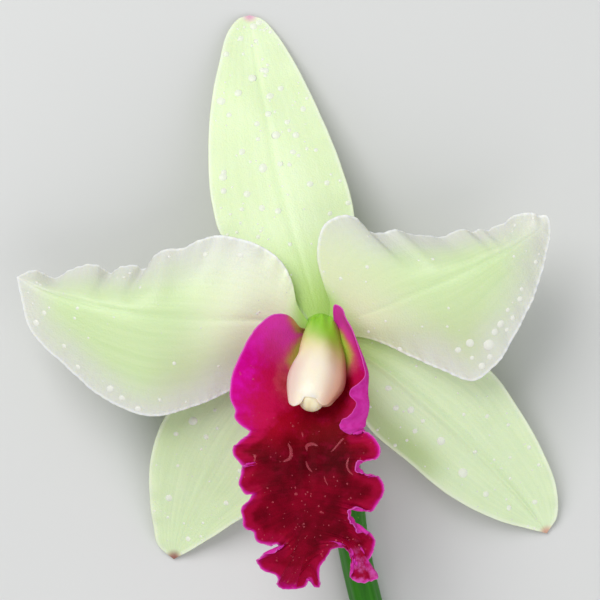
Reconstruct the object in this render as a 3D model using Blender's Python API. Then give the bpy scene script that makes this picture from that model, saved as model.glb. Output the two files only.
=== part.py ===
"""A picked cattleya orchid flower with its own stalk, lying face up on the tips of its three sepals.

The flower is laid out in millimetres about its heart, the spot where its blades leave the ovary:
+X is the viewer's right, +Y runs up the dorsal sepal and +Z faces the viewer. Each blade is drawn by
a few smooth lines that run from its base to its tip, in order from its left margin to its right one
as seen when looking along the blade from above. The finished meshes are in metres.
"""

import bisect
import math
from collections import namedtuple

import bpy
from mathutils import Vector

MM = 0.001

# Thickness of the blades
SEPAL_THICKNESS = 0.8
PETAL_THICKNESS = 0.7
LIP_THICKNESS = 0.6

# How finely each blade is divided, from base to tip and from margin to margin
SEPAL_ROWS, SEPAL_COLUMNS = 20, 8
PETAL_ROWS, PETAL_COLUMNS = 36, 10
LIP_ROWS, LIP_COLUMNS = 62, 16

# A ruffle lifts a margin by height and draws it in and out by reach, count times along the blade.
# It fades away inside the share of the blade's half width that is given as depth, and over the
# shares of its length nearest to its base and its tip.
Ruffle = namedtuple("Ruffle", "height reach count start depth")
RUFFLE_BASE_FADE, RUFFLE_TIP_FADE = 0.15, 0.08

# Dorsal sepal, 70 mm long and 33 mm wide, leaning back to its tip
DORSAL_LEFT = [(-3, 4, -1.6), (-9, 9.5, -3), (-17.5, 18, -5), (-23, 28, -8), (-25, 41, -12.5),
               (-23, 58, -18), (-19.5, 70.5, -22.6), (-16.2, 73.5, -24)]
DORSAL_MID = [(-0.5, 4.5, -1.6), (-2.5, 10, -2.6), (-6, 21, -5), (-9.5, 34, -9.5), (-12.5, 50, -15),
              (-15, 63, -20), (-16.2, 73.5, -24)]
DORSAL_RIGHT = [(2, 4.2, -1.6), (5, 9, -3), (7.5, 17, -4.5), (7.8, 26, -7), (4.8, 38, -11),
                (1.3, 48, -15), (-5.3, 61, -19.5), (-12.2, 71.2, -23), (-16.2, 73.5, -24)]

# Lateral sepals, 70 mm long, which spread down to the left and to the right
LATERAL_LEFT_INNER = [(-1.8, -4, -1.7), (-2.5, -12, -4.5), (-4, -21, -7.5), (-7.5, -31, -10.5),
                      (-13, -40, -14), (-21, -46.5, -17.5), (-29, -52, -21.5), (-35, -55, -24)]
LATERAL_LEFT_MID = [(-3.5, -2.5, -1.6), (-9, -9, -3.8), (-17, -19, -8), (-24, -30, -12.5),
                    (-29.5, -41, -18), (-33, -50, -22), (-35, -55, -24)]
LATERAL_LEFT_OUTER = [(-5, -0.8, -1.6), (-15, -5.5, -4), (-26, -11.5, -7), (-35, -19.5, -10),
                      (-39, -30, -13.5), (-39.5, -40, -17.5), (-38, -50, -22), (-35, -55, -24)]
LATERAL_RIGHT_OUTER = [(5, -0.8, -1.6), (15, -1.5, -4), (28, -4, -6.5), (38.5, -9, -9),
                       (46, -18.5, -12.5), (52, -28.5, -16.5), (55.8, -38, -20.3), (56, -45, -23),
                       (54, -48.5, -24)]
LATERAL_RIGHT_MID = [(3.5, -2.5, -1.6), (11, -6.5, -3.6), (25, -17.5, -9), (40, -32, -16.5),
                     (49, -42, -21.5), (54, -48.5, -24)]
LATERAL_RIGHT_INNER = [(1.8, -4, -1.7), (6, -14, -5), (12, -23.5, -8.5), (20, -31, -12),
                       (30, -38.5, -15.5), (41, -44.5, -19.5), (54, -48.5, -24)]

# Petals, 65 and 53 mm long, whose upper margins roll away from the viewer
PETAL_LEFT_LOWER = [(-4.5, -0.8, -0.5), (-11, -6.5, -0.3), (-20, -13.5, -1.5), (-29, -17.5, -2),
                    (-38, -19.5, -2), (-48, -16, -2.5), (-58, -8, -3.5), (-65.5, -0.5, -4),
                    (-69, 12, -5)]
PETAL_LEFT_MID = [(-4.5, 0.8, -0.4), (-14, 2.2, 1.8), (-26, 2.5, 3), (-40, 3.5, 3), (-52, 6, 1),
                  (-63, 9.5, -3), (-69, 12, -5)]
PETAL_LEFT_UPPER = [(-4, 2.2, -0.5), (-7, 11, 1), (-14, 19.5, 1), (-24, 21, -1), (-34, 18, -4),
                    (-42, 15, -7), (-52, 14, -8.5), (-61, 13, -9), (-69, 12, -5)]
PETAL_RIGHT_UPPER = [(3.5, 2.5, -0.5), (1, 10, 1.5), (-0.5, 17, 2.5), (1, 23, 2.5), (6, 25.5, 1.5),
                     (11, 22.5, -1.5), (20, 22, -4.5), (29, 21.5, -6), (37, 22.5, -4.5),
                     (43, 25.5, -2.5), (51.5, 25, 2)]
PETAL_RIGHT_MID = [(4.5, 1, -0.4), (12.5, 4.5, 1.8), (20, 8, 3.2), (30, 12, 4.5), (39, 16.5, 4),
                   (46, 20.5, 3), (51.5, 25, 2)]
PETAL_RIGHT_LOWER = [(5, -0.5, -0.5), (12, -2.2, -0.8), (20.5, -6, -1.5), (28.5, -9.5, -1.5),
                     (34.5, -11.5, -1), (39, -8.5, -0.5), (44.5, 0, 0), (48.5, 8.5, 0.5),
                     (50.5, 16, 1), (51.5, 25, 2)]

PETAL_LEFT_RUFFLES = (Ruffle(0.5, 0.3, 9, 0.0, 0.35), Ruffle(1.2, 0.5, 8, 0.3, 0.5))
PETAL_RIGHT_RUFFLES = (Ruffle(0.8, 0.4, 9, 0.1, 0.5), Ruffle(0.4, 0.3, 8, 0.0, 0.3))

# Lip, 56 mm long. Its right side lobe stands up beside the column and folds over at its lower end,
# its left one spreads flat, and the middle lobe's margins fold up between broad crests.
# Each point starts with its station, the share of the way along the lip at which it lies.
LIP_RIGHT = [(0, 3.4, 0.2, 1.4), (0.05, 3.3, 5.6, 7.6), (0.09, 5.8, 2.6, 10.2), (0.15, 7.9, -2.6, 12.7),
             (0.2, 9.2, -7, 14.2), (0.235, 9.5, -9.8, 16), (0.27, 7.4, -11.8, 17.7),
             (0.305, 6.2, -13.8, 17.2), (0.33, 7.6, -15.5, 18.2), (0.36, 6.4, -17.8, 18.8),
             (0.4, 4.5, -20.3, 18.5), (0.44, 9.2, -22, 16.5), (0.475, 12.9, -25.4, 16.2),
             (0.5, 12, -27.8, 16.8), (0.53, 8.4, -28.8, 18.6), (0.57, 10.7, -30.6, 17.4),
             (0.605, 13.4, -32.7, 16.6), (0.645, 13, -36.2, 16.4), (0.685, 10.4, -39.2, 17.2),
             (0.715, 6.2, -38.8, 19), (0.755, 8.4, -43, 18.4), (0.785, 11.5, -44.1, 17.2),
             (0.81, 11, -48.2, 16.8), (0.842, 12.4, -52.8, 16.4), (0.872, 8.4, -53.9, 16.8),
             (0.9, 5.9, -50.4, 16.6), (0.93, 3.2, -47.4, 16.4), (0.957, 0, -50.8, 16.6),
             (0.98, -1, -55.6, 16), (1, -5.4, -56.2, 14.8)]
LIP_RIGHT_WALL = [(0, 2.6, -1.5, 1), (0.05, 4.3, 0.5, 4), (0.11, 6.1, -1.8, 7.5),
                  (0.17, 7.9, -5.5, 9.8), (0.23, 9.3, -9.6, 12), (0.3, 9.8, -14, 13.6),
                  (0.38, 9.4, -18.2, 13), (0.47, 7.4, -24.7, 15), (0.57, 7, -31, 17),
                  (0.7, 5, -38, 17.5), (0.78, 6, -41.8, 17.2), (0.86, 5.8, -44.6, 17),
                  (0.92, 3, -45.4, 17), (0.96, -1.2, -49.2, 16.6), (1, -5.4, -56.2, 14.8)]
LIP_SPINE = [(0, 0, -2.6, 0.8), (0.11, -0.5, -8, 3.5), (0.24, -1.5, -14, 7.5), (0.37, -2, -20, 11.5),
             (0.52, -2.5, -28, 15), (0.66, -2.5, -35, 17), (0.8, -3, -40.5, 17.3),
             (0.92, -3.4, -47.5, 16.8), (1, -5.4, -56.2, 14.8)]
LIP_LEFT_WALL = [(0, -2.6, -1.5, 1), (0.05, -4.6, -0.8, 3.2), (0.11, -6.8, -2.8, 5),
                 (0.2, -9.5, -8, 7.8), (0.3, -10.5, -14.5, 10.8), (0.42, -9.5, -22.5, 14.8),
                 (0.55, -9.8, -30, 16.8), (0.68, -9.5, -37, 17.6), (0.8, -6.5, -44, 17.4),
                 (0.92, -6.6, -50.5, 16.8), (1, -5.4, -56.2, 14.8)]
LIP_LEFT = [(0, -3.6, 0.2, 1.4), (0.055, -6.3, 2.8, 6.5), (0.1, -9.8, 3.6, 9.3), (0.16, -14, 0.7, 10.5),
            (0.23, -17.5, -5.2, 11), (0.31, -19.7, -12, 11.5), (0.37, -18.7, -18.6, 12.7),
            (0.41, -15.5, -21.7, 15.2), (0.44, -17.9, -23.8, 15.8), (0.48, -18.9, -26.8, 15.6),
            (0.512, -16.1, -28.7, 17.4), (0.55, -17.3, -31.4, 16.6), (0.59, -17.6, -33.9, 16.8),
            (0.622, -14.8, -35.3, 17.8), (0.66, -17, -38.7, 17), (0.715, -16.6, -42.6, 16.8),
            (0.76, -13.9, -45.1, 17.2), (0.8, -11.3, -46.6, 18.2), (0.85, -13.6, -49.8, 16.8),
            (0.885, -11.3, -51.9, 16.4), (0.92, -9.3, -55, 16), (0.96, -7.6, -56, 15.4),
            (1, -5.4, -56.2, 14.8)]

# The lip's middle lobe arches down from here on, and is this much lower where it has gone so far.
# The lowering follows the viewer's line of sight, so the lip keeps its outline.
ARCH_START, ARCH_LENGTH, ARCH_DROP = -26, 30, 6.5
EYE = (-4.5, 6.75, 450)

LIP_RUFFLES = (Ruffle(0.4, 0.3, 16, 0.2, 0.3), Ruffle(0.4, 0.3, 17, 0.4, 0.3))

# Column: its middle line, and its half width and half depth at even steps along it
COLUMN_LINE = [(0.2, 0.8, -0.1), (0.2, 1, 2), (-0.2, -3, 6.5), (-1.2, -9, 11.5), (-2.2, -15.5, 16)]
COLUMN_HALF_WIDTHS = [3, 3.2, 4.2, 5.8, 6.5, 6, 4.3]
COLUMN_HALF_DEPTHS = [2.3, 2.4, 2.6, 3, 3.2, 3.1, 2.9]
COLUMN_RINGS, COLUMN_SIDES = 13, 20

# The column's two wings run on past its end, and start at this share of its length
WING_LENGTH, WING_START, WING_SHARPNESS = 1.3, 0.75, 3

# The oval pocket in the column's end, and how much narrower its floor is than its mouth
POCKET_RADIUS, POCKET_DEPTH, POCKET_FLATNESS, POCKET_DRAFT = 2.9, 1.1, 0.9, 0.1

# Anther cap, a small bowl over the pollinia in the pocket at the column's tip
CAP_RADIUS, CAP_HEIGHT, CAP_WALL = 2.5, 3.3, 0.6
CAP_RINGS, CAP_SIDES = 5, 16
POLLINIA_RADIUS, POLLINIA_LOBES, POLLINIA_SWELL = 1.3, 4, 0.12
POLLINIA_RINGS, POLLINIA_SIDES = 8, 16

# Stalk: the ovary's top, its boss under the column, and the way down and along the ground
SEAT_RADIUS, BOSS_RADIUS, BOSS_TOP, SEAT_TOP = 4.6, 3.3, -0.4, -2.75
NECK = [(-3.5, 4.4), (-5.5, 3.7)]
STALK_LINE = [(0, 0, -8), (0.5, -2.5, -13.5), (1.8, -9, -18), (3.5, -19, -20.1), (6, -35, -20.3),
              (8.3, -52, -20.3), (11.3, -65, -20.3), (14.8, -77, -20.3)]
STALK_RADII = [3.5, 3.8, 4, 3.8, 3.6, 3.6, 3.6]
STALK_RINGS, STALK_SIDES = 20, 18
RIB_COUNT, RIB_HEIGHT, RIB_RISE = 6, 0.04, 0.15

# The gap that keeps touching pieces apart
CLEAR = 0.3

# How far either side of a ring its line's direction is measured, as a share of the line
COLUMN_REACH, STALK_REACH = 0.05, 0.02

# Colours and roughness of the plain materials
SEPAL_GREEN = (0.72, 0.84, 0.45)
PETAL_CREAM = (0.78, 0.82, 0.58)
LIP_CRIMSON = (0.45, 0.01, 0.12)
COLUMN_IVORY = (0.85, 0.78, 0.66)
CAP_YELLOW = (0.88, 0.80, 0.58)
POLLINIA_GOLD = (0.85, 0.65, 0.15)
STALK_GREEN = (0.12, 0.32, 0.04)
BLADE_ROUGHNESS, FLESH_ROUGHNESS, WAX_ROUGHNESS = 0.45, 0.4, 0.35
CREASE_ANGLE = math.radians(40)


class Curve:
    """A smooth curve through points, read by its share t of the way, from 0 to 1.

    A point of four numbers starts with its own share. Otherwise the share goes by distance, or by
    count where even is set.
    """

    def __init__(self, points, even=False):
        self.points = [Vector(point[-3:]) for point in points]
        self.knots = [0.0]
        if len(points[0]) == 4:
            self.knots = [point[0] for point in points]
        else:
            for before, after in zip(self.points, self.points[1:]):
                self.knots.append(self.knots[-1] + (1.0 if even else (after - before).length))
        slopes = [
            (after - before) / (end - start)
            for before, after, start, end in zip(
                self.points, self.points[1:], self.knots, self.knots[1:]
            )
        ]
        self.tangents = [slopes[0]]
        for i in range(1, len(slopes)):
            left = self.knots[i] - self.knots[i - 1]
            right = self.knots[i + 1] - self.knots[i]
            self.tangents.append((slopes[i - 1] * right + slopes[i] * left) / (left + right))
        self.tangents.append(slopes[-1])

    def at(self, t):
        reach = min(max(t, 0.0), 1.0) * self.knots[-1]
        i = min(bisect.bisect_right(self.knots, reach), len(self.knots) - 1) - 1
        gap = self.knots[i + 1] - self.knots[i]
        s = (reach - self.knots[i]) / gap
        start, end = self.points[i], self.points[i + 1]
        pull = self.tangents[i] * gap * (s * (1 - s) ** 2)
        push = self.tangents[i + 1] * gap * (s * s * (s - 1))
        ease = s * s * (3 - 2 * s)
        return start.lerp(end, ease) + pull + push


def eased(values, t):
    """One of a few even-spaced values, read smoothly at the share t."""
    return Curve([(value, 0, 0) for value in values], even=True).at(t).x


def smooth_step(low, high, value):
    s = min(max((value - low) / (high - low), 0.0), 1.0)
    return s * s * (3 - 2 * s)


def ruffled(point, mid, t, u, ruffles):
    """The point with its nearer margin's ruffle, at the share t along and u across the blade."""
    ruffle = ruffles[0] if u < 0.5 else ruffles[1]
    edge = abs(u - 0.5) * 2
    fade = smooth_step(0, RUFFLE_BASE_FADE, t) * smooth_step(0, RUFFLE_TIP_FADE, 1 - t)
    strength = smooth_step(1 - ruffle.depth, 1, edge) * fade
    turn = 2 * math.pi * (ruffle.count * t + ruffle.start)
    outward = point - mid
    outward.z = 0
    if outward.length > 0:
        outward.normalize()
    lift = Vector((0, 0, ruffle.height * math.sin(turn)))
    return point + (lift + outward * (ruffle.reach * math.cos(turn))) * strength


def row_shares(curves, rows, samples=400):
    """Shares that cut the blade into rows which are as tall as each other at their tallest."""
    reached = [0.0]
    before = [curve.at(0) for curve in curves]
    for sample in range(1, samples + 1):
        after = [curve.at(sample / samples) for curve in curves]
        step = max((end - start).length for start, end in zip(before, after))
        reached.append(reached[-1] + step)
        before = after
    shares = []
    for row in range(rows + 1):
        goal = reached[-1] * row / rows
        sample = min(max(bisect.bisect_left(reached, goal), 1), samples)
        gap = reached[sample] - reached[sample - 1]
        shares.append((sample - 1 + (goal - reached[sample - 1]) / gap) / samples)
    return shares


def sheet(lines, rows, columns, ruffles=None):
    """Rows of points across a blade, from its base to its tip, where the last row is one point."""
    curves = [Curve(line) for line in lines]
    grid = []
    for t in row_shares(curves, rows):
        across = Curve([curve.at(t) for curve in curves], even=True)
        points = [across.at(column / columns) for column in range(columns + 1)]
        if ruffles:
            mid = across.at(0.5)
            points = [
                ruffled(point, mid, t, column / columns, ruffles)
                for column, point in enumerate(points)
            ]
        grid.append(points)
    return grid


def sheet_normals(grid, smoothings=2):
    """The way each point of a sheet faces, evened out so that the back face doesn't fold."""
    last, end = len(grid) - 1, len(grid[0]) - 1
    normals = []
    for row in range(last):
        ahead, behind = grid[row + 1], grid[max(row - 1, 0)]
        faces = []
        for column in range(end + 1):
            across = grid[row][min(column + 1, end)] - grid[row][max(column - 1, 0)]
            faces.append(across.cross(ahead[column] - behind[column]).normalized())
        normals.append(faces)
    normals.append([sum(normals[-1], Vector()).normalized()] * (end + 1))
    for _ in range(smoothings):
        normals = [
            [
                (
                    normals[row][column] * 2
                    + normals[max(row - 1, 0)][column]
                    + normals[min(row + 1, last)][column]
                    + normals[row][max(column - 1, 0)]
                    + normals[row][min(column + 1, end)]
                ).normalized()
                for column in range(end + 1)
            ]
            for row in range(last + 1)
        ]
    return normals


def solid_from_sheet(grid, thickness):
    """Points and triangles of a closed blade, with both faces split along the same diagonals."""
    normals = sheet_normals(grid)
    rows, width = len(grid) - 1, len(grid[0])
    front = [point for points in grid[:-1] for point in points] + [grid[-1][0]]
    facing = [normal for faces in normals[:-1] for normal in faces] + [normals[-1][0]]
    back = [point - normal * thickness for point, normal in zip(front, facing)]
    half = len(front)
    tip = half - 1

    def place(row, column):
        return tip if row == rows else row * width + column

    triangles = []
    for row in range(rows):
        for column in range(width - 1):
            a, b = place(row, column), place(row, column + 1)
            c, d = place(row + 1, column + 1), place(row + 1, column)
            triangles.append((a, b, c))
            if row < rows - 1:
                triangles.append((a, c, d))
    triangles += [(c + half, b + half, a + half) for a, b, c in triangles]
    rim = [place(0, column) for column in range(width)]
    rim += [place(row, width - 1) for row in range(1, rows + 1)]
    rim += [place(row, 0) for row in range(rows - 1, 0, -1)]
    for a, b in zip(rim, rim[1:] + rim[:1]):
        triangles += [(b, a, a + half), (b, a + half, b + half)]
    return front + back, triangles


def solid_from_rings(rings):
    """Points and faces of a closed body that follows rings of points and is flat at both ends."""
    sides = len(rings[0])
    points = [point for ring in rings for point in ring]
    faces = []
    for ring in range(len(rings) - 1):
        for side in range(sides):
            beside = (side + 1) % sides
            low, high = ring * sides, (ring + 1) * sides
            faces.append((low + side, low + beside, high + beside, high + side))
    faces.append(tuple(range(sides))[::-1])
    faces.append(tuple(range(len(points) - sides, len(points))))
    return points, faces


def turned(profile, sides):
    """Points and faces of a body turned round Z. The profile runs from pole to pole, (radius, z)."""
    inner = profile[1:-1]
    points = [Vector((0, 0, profile[0][1]))]
    for radius, z in inner:
        points += [Vector((radius * math.cos(a), radius * math.sin(a), z)) for a in around(sides)]
    points.append(Vector((0, 0, profile[-1][1])))
    faces = []
    for side in range(sides):
        beside = (side + 1) % sides
        faces.append((0, 1 + beside, 1 + side))
        for ring in range(len(inner) - 1):
            low, high = 1 + ring * sides, 1 + (ring + 1) * sides
            faces.append((low + side, low + beside, high + beside, high + side))
        low = 1 + (len(inner) - 1) * sides
        faces.append((low + side, low + beside, len(points) - 1))
    return points, faces


def direction(line, t, reach):
    return (line.at(t + reach) - line.at(t - reach)).normalized()


def ring_axes(along):
    """The level way across a ring that is square to the given way, and the way that it faces."""
    face = along.cross(Vector((1, 0, 0))).normalized()
    return face.cross(along), face


def around(sides):
    """The turns of a ring's points, in radians."""
    return [2 * math.pi * side / sides for side in range(sides)]


def column_tip():
    """The column's end point and the frame there: across, towards its face, and along."""
    line = Curve(COLUMN_LINE)
    along = direction(line, 1, 2 * COLUMN_REACH)
    across, face = ring_axes(along)
    return line.at(1), across, face, along


def column():
    """The column: a tube that widens to two wings, with a round pocket at its tip."""
    line = Curve(COLUMN_LINE)
    rings = []
    for ring in range(COLUMN_RINGS + 1):
        t = ring / COLUMN_RINGS
        along = direction(line, t, COLUMN_REACH) if ring > 0 else Vector((0, 0, 1))
        across, face = ring_axes(along)
        half_width, half_depth = eased(COLUMN_HALF_WIDTHS, t), eased(COLUMN_HALF_DEPTHS, t)
        wing = WING_LENGTH * smooth_step(WING_START, 1, t)
        rings.append(
            [
                line.at(t)
                + across * (half_width * math.cos(angle))
                + face * (half_depth * math.sin(angle))
                + along * (wing * abs(math.cos(angle)) ** WING_SHARPNESS)
                for angle in around(COLUMN_SIDES)
            ]
        )
    end, across, face, along = column_tip()
    for radius, depth in ((POCKET_RADIUS, 0), (POCKET_RADIUS - POCKET_DRAFT, POCKET_DEPTH)):
        rings.append(
            [
                end
                + across * (radius * math.cos(angle))
                + face * (radius * POCKET_FLATNESS * math.sin(angle))
                - along * depth
                for angle in around(COLUMN_SIDES)
            ]
        )
    return solid_from_rings(rings)


def placed_in_pocket(points, lift):
    """Points made round Z, stood on the pocket's floor with the given lift."""
    end, across, face, along = column_tip()
    floor = end - along * (POCKET_DEPTH - lift)
    return [floor + across * point.x + face * point.y + along * point.z for point in points]


def dome(radius, height, rings):
    """(radius, z) steps up a dome from its rim, without its pole."""
    turns = [math.pi / 2 * ring / rings for ring in range(rings)]
    return [(radius * math.cos(turn), height * math.sin(turn)) for turn in turns]


def anther_cap():
    outer = dome(CAP_RADIUS, CAP_HEIGHT, CAP_RINGS)
    inner = dome(CAP_RADIUS - CAP_WALL, CAP_HEIGHT - CAP_WALL, CAP_RINGS)
    profile = [(0, CAP_HEIGHT - CAP_WALL)] + inner[::-1] + outer + [(0, CAP_HEIGHT)]
    points, faces = turned(profile, CAP_SIDES)
    return placed_in_pocket(points, CLEAR), faces


def pollinia():
    """Waxy pollen masses that meet in one lobed body."""
    turns = [math.pi * ring / POLLINIA_RINGS - math.pi / 2 for ring in range(POLLINIA_RINGS + 1)]
    profile = [(POLLINIA_RADIUS * math.cos(turn), POLLINIA_RADIUS * math.sin(turn)) for turn in turns]
    profile[0], profile[-1] = (0, profile[0][1]), (0, profile[-1][1])
    points, faces = turned(profile, POLLINIA_SIDES)
    for point in points:
        swell = 1 + POLLINIA_SWELL * math.cos(POLLINIA_LOBES * math.atan2(point.y, point.x))
        point.x *= swell
        point.y *= swell
    return placed_in_pocket(points, CLEAR + POLLINIA_RADIUS), faces


def stalk():
    """The ovary's top with its boss and seat, and the ribbed stalk that curves down and away."""
    rings = []
    steps = [(BOSS_TOP, BOSS_RADIUS), (SEAT_TOP, BOSS_RADIUS), (SEAT_TOP, SEAT_RADIUS)]
    for z, radius in steps + NECK:
        rings.append(stalk_ring(Vector((0, 0, z)), Vector((0, 0, -1)), radius, 0))
    line = Curve(STALK_LINE)
    for ring in range(STALK_RINGS + 1):
        t = ring / STALK_RINGS
        along = direction(line, t, STALK_REACH) if ring > 0 else Vector((0, 0, -1))
        ribs = RIB_HEIGHT * smooth_step(0, RIB_RISE, t)
        rings.append(stalk_ring(line.at(t), along, eased(STALK_RADII, t), ribs))
    return solid_from_rings(rings)


def stalk_ring(middle, along, radius, ribs):
    across, face = ring_axes(along)
    points = []
    for angle in around(STALK_SIDES):
        reach = radius * (1 + ribs * math.cos(RIB_COUNT * angle))
        points.append(middle + (across * math.cos(angle) + face * math.sin(angle)) * reach)
    return points


def principled(name, color, roughness):
    """A plain material with the piece's colour and roughness. None of the pieces is metal."""
    material = bpy.data.materials.new(name)
    material.use_nodes = True
    shader = material.node_tree.nodes["Principled BSDF"]
    shader.inputs["Base Color"].default_value = (*color, 1)
    shader.inputs["Roughness"].default_value = roughness
    shader.inputs["Metallic"].default_value = 0
    return material


def mesh_object(name, solid, parent, color, roughness):
    """A piece of the flower from its points, in millimetres, and its faces."""
    points, faces = solid
    mesh = bpy.data.meshes.new(name)
    mesh.from_pydata([point * MM for point in points], [], faces)
    mesh.shade_smooth()
    mesh.set_sharp_from_angle(angle=CREASE_ANGLE)
    mesh.materials.append(principled(name, color, roughness))
    piece = bpy.data.objects.new(name, mesh)
    piece.parent = parent
    bpy.context.scene.collection.objects.link(piece)
    return piece


def blade(name, lines, rows, columns, thickness, parent, color, ruffles=None):
    solid = solid_from_sheet(sheet(lines, rows, columns, ruffles), thickness)
    return mesh_object(name, solid, parent, color, BLADE_ROUGHNESS)


def stand_on_ground(heart, pieces):
    """Moves the flower so that its lowest point is at z = 0, under the middle of its outline."""
    points = [vertex.co for piece in pieces for vertex in piece.data.vertices]
    low = [min(point[axis] for point in points) for axis in range(3)]
    high = [max(point[axis] for point in points) for axis in range(3)]
    heart.location = (-(low[0] + high[0]) / 2, -(low[1] + high[1]) / 2, -low[2])


def sepals(heart):
    pieces = []
    for name, lines in (
        ("dorsal_sepal", (DORSAL_LEFT, DORSAL_MID, DORSAL_RIGHT)),
        ("lateral_sepal_left", (LATERAL_LEFT_INNER, LATERAL_LEFT_MID, LATERAL_LEFT_OUTER)),
        ("lateral_sepal_right", (LATERAL_RIGHT_OUTER, LATERAL_RIGHT_MID, LATERAL_RIGHT_INNER)),
    ):
        pieces.append(
            blade(name, lines, SEPAL_ROWS, SEPAL_COLUMNS, SEPAL_THICKNESS, heart, SEPAL_GREEN)
        )
    return pieces


def petals(heart):
    pieces = []
    for name, lines, ruffles in (
        ("petal_left", (PETAL_LEFT_LOWER, PETAL_LEFT_MID, PETAL_LEFT_UPPER), PETAL_LEFT_RUFFLES),
        ("petal_right", (PETAL_RIGHT_UPPER, PETAL_RIGHT_MID, PETAL_RIGHT_LOWER), PETAL_RIGHT_RUFFLES),
    ):
        pieces.append(
            blade(name, lines, PETAL_ROWS, PETAL_COLUMNS, PETAL_THICKNESS, heart, PETAL_CREAM, ruffles)
        )
    return pieces


def arched(line):
    """A line of the lip, lowered towards its far end along the viewer's line of sight."""
    points = []
    for station, *place in line:
        sight = Vector(place) - Vector(EYE)
        share = max((ARCH_START - place[1]) / ARCH_LENGTH, 0)
        lowered = Vector(place) + sight * (ARCH_DROP * share ** 2 / -sight.z)
        points.append((station, *lowered))
    return points


def lip(heart):
    lines = [
        arched(line) for line in (LIP_RIGHT, LIP_RIGHT_WALL, LIP_SPINE, LIP_LEFT_WALL, LIP_LEFT)
    ]
    return blade("lip", lines, LIP_ROWS, LIP_COLUMNS, LIP_THICKNESS, heart, LIP_CRIMSON, LIP_RUFFLES)


def main():
    for old in list(bpy.data.objects):
        bpy.data.objects.remove(old)
    heart = bpy.data.objects.new("heart", None)
    bpy.context.scene.collection.objects.link(heart)
    pieces = sepals(heart) + petals(heart) + [lip(heart)]
    for name, solid, color, roughness in (
        ("column", column(), COLUMN_IVORY, FLESH_ROUGHNESS),
        ("anther_cap", anther_cap(), CAP_YELLOW, BLADE_ROUGHNESS),
        ("pollinia", pollinia(), POLLINIA_GOLD, WAX_ROUGHNESS),
        ("stalk", stalk(), STALK_GREEN, FLESH_ROUGHNESS),
    ):
        pieces.append(mesh_object(name, solid, heart, color, roughness))
    stand_on_ground(heart, pieces)


main()
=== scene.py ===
"""The looks of the picked cattleya flower: finer pieces in place of its plain solids.

Sizes are in millimetres about the flower's heart, as in the solids, and the meshes are in metres.
Each blade is drawn by smooth lines that run from its base to its tip, near those of its solid. Most
margins have more points here, and the bases of the sepals and petals run further in.
"""

import math
from collections import namedtuple

import bpy
import numpy as np
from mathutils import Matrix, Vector
from mathutils.bvhtree import BVHTree
from mathutils.kdtree import KDTree


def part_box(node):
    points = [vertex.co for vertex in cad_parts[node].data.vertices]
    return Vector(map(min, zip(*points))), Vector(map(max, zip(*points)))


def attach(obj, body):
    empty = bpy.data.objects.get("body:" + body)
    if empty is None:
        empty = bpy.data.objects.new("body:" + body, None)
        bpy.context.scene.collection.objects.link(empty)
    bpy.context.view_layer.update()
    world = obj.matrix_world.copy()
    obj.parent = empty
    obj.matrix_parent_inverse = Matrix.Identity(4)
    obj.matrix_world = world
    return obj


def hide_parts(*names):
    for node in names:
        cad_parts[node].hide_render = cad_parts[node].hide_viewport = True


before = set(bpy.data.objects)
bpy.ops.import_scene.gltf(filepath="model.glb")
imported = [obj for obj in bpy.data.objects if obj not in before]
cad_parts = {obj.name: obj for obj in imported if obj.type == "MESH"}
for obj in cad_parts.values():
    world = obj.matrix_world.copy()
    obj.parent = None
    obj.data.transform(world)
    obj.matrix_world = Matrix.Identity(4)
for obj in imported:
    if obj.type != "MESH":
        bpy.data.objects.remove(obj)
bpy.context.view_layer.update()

MM = 0.001

# The photograph's side in pixels, the camera's place from the flower's heart, its lens and sensor
PHOTO_SIDE = 600
CAMERA_FROM_HEART = (-4.5, 6.75, 450)
LENS, SENSOR = 120, 36

# The lip's middle lobe arches down from here on, and is this much lower where it has gone so far
ARCH_START, ARCH_LENGTH, ARCH_DROP = -26, 30, 6.5

# The stalk's round seat under the blades, which gives the heart's place in the frame
SEAT_RADIUS, SEAT_SIDES, BOSS_TOP = 4.6, 18, -0.4

# Dorsal sepal
DORSAL_LEFT = [
    (-2.6, 1.5, -1.7), (-6.2, 6, -2.4), (-10, 10, -3.1), (-18, 16.5, -4.8), (-22.4, 21.5, -6),
    (-24.6, 29, -8.2), (-25.6, 41, -12.5), (-25.2, 52, -16.3), (-23.4, 62.5, -20), (-20.9, 71, -22.8),
    (-18.8, 73.5, -23.6), (-16.4, 74.2, -24),
]
DORSAL_MID = [
    (-0.2, 1.5, -1.4), (-2.5, 10, -2.9), (-6, 21, -5.3), (-9.5, 34, -9.8), (-12.5, 50, -15.3),
    (-15, 63, -20.2), (-16.4, 74.2, -24),
]
DORSAL_RIGHT = [
    (2.2, 1.5, -1.7), (4, 5.5, -2.4), (5, 9, -3), (7.5, 17, -4.5), (7.8, 26, -7), (4.8, 38, -11),
    (1, 48, -15), (-5, 61, -19.5), (-10.4, 69.8, -22.6), (-13.6, 73.3, -23.6), (-16.4, 74.2, -24),
]

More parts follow.
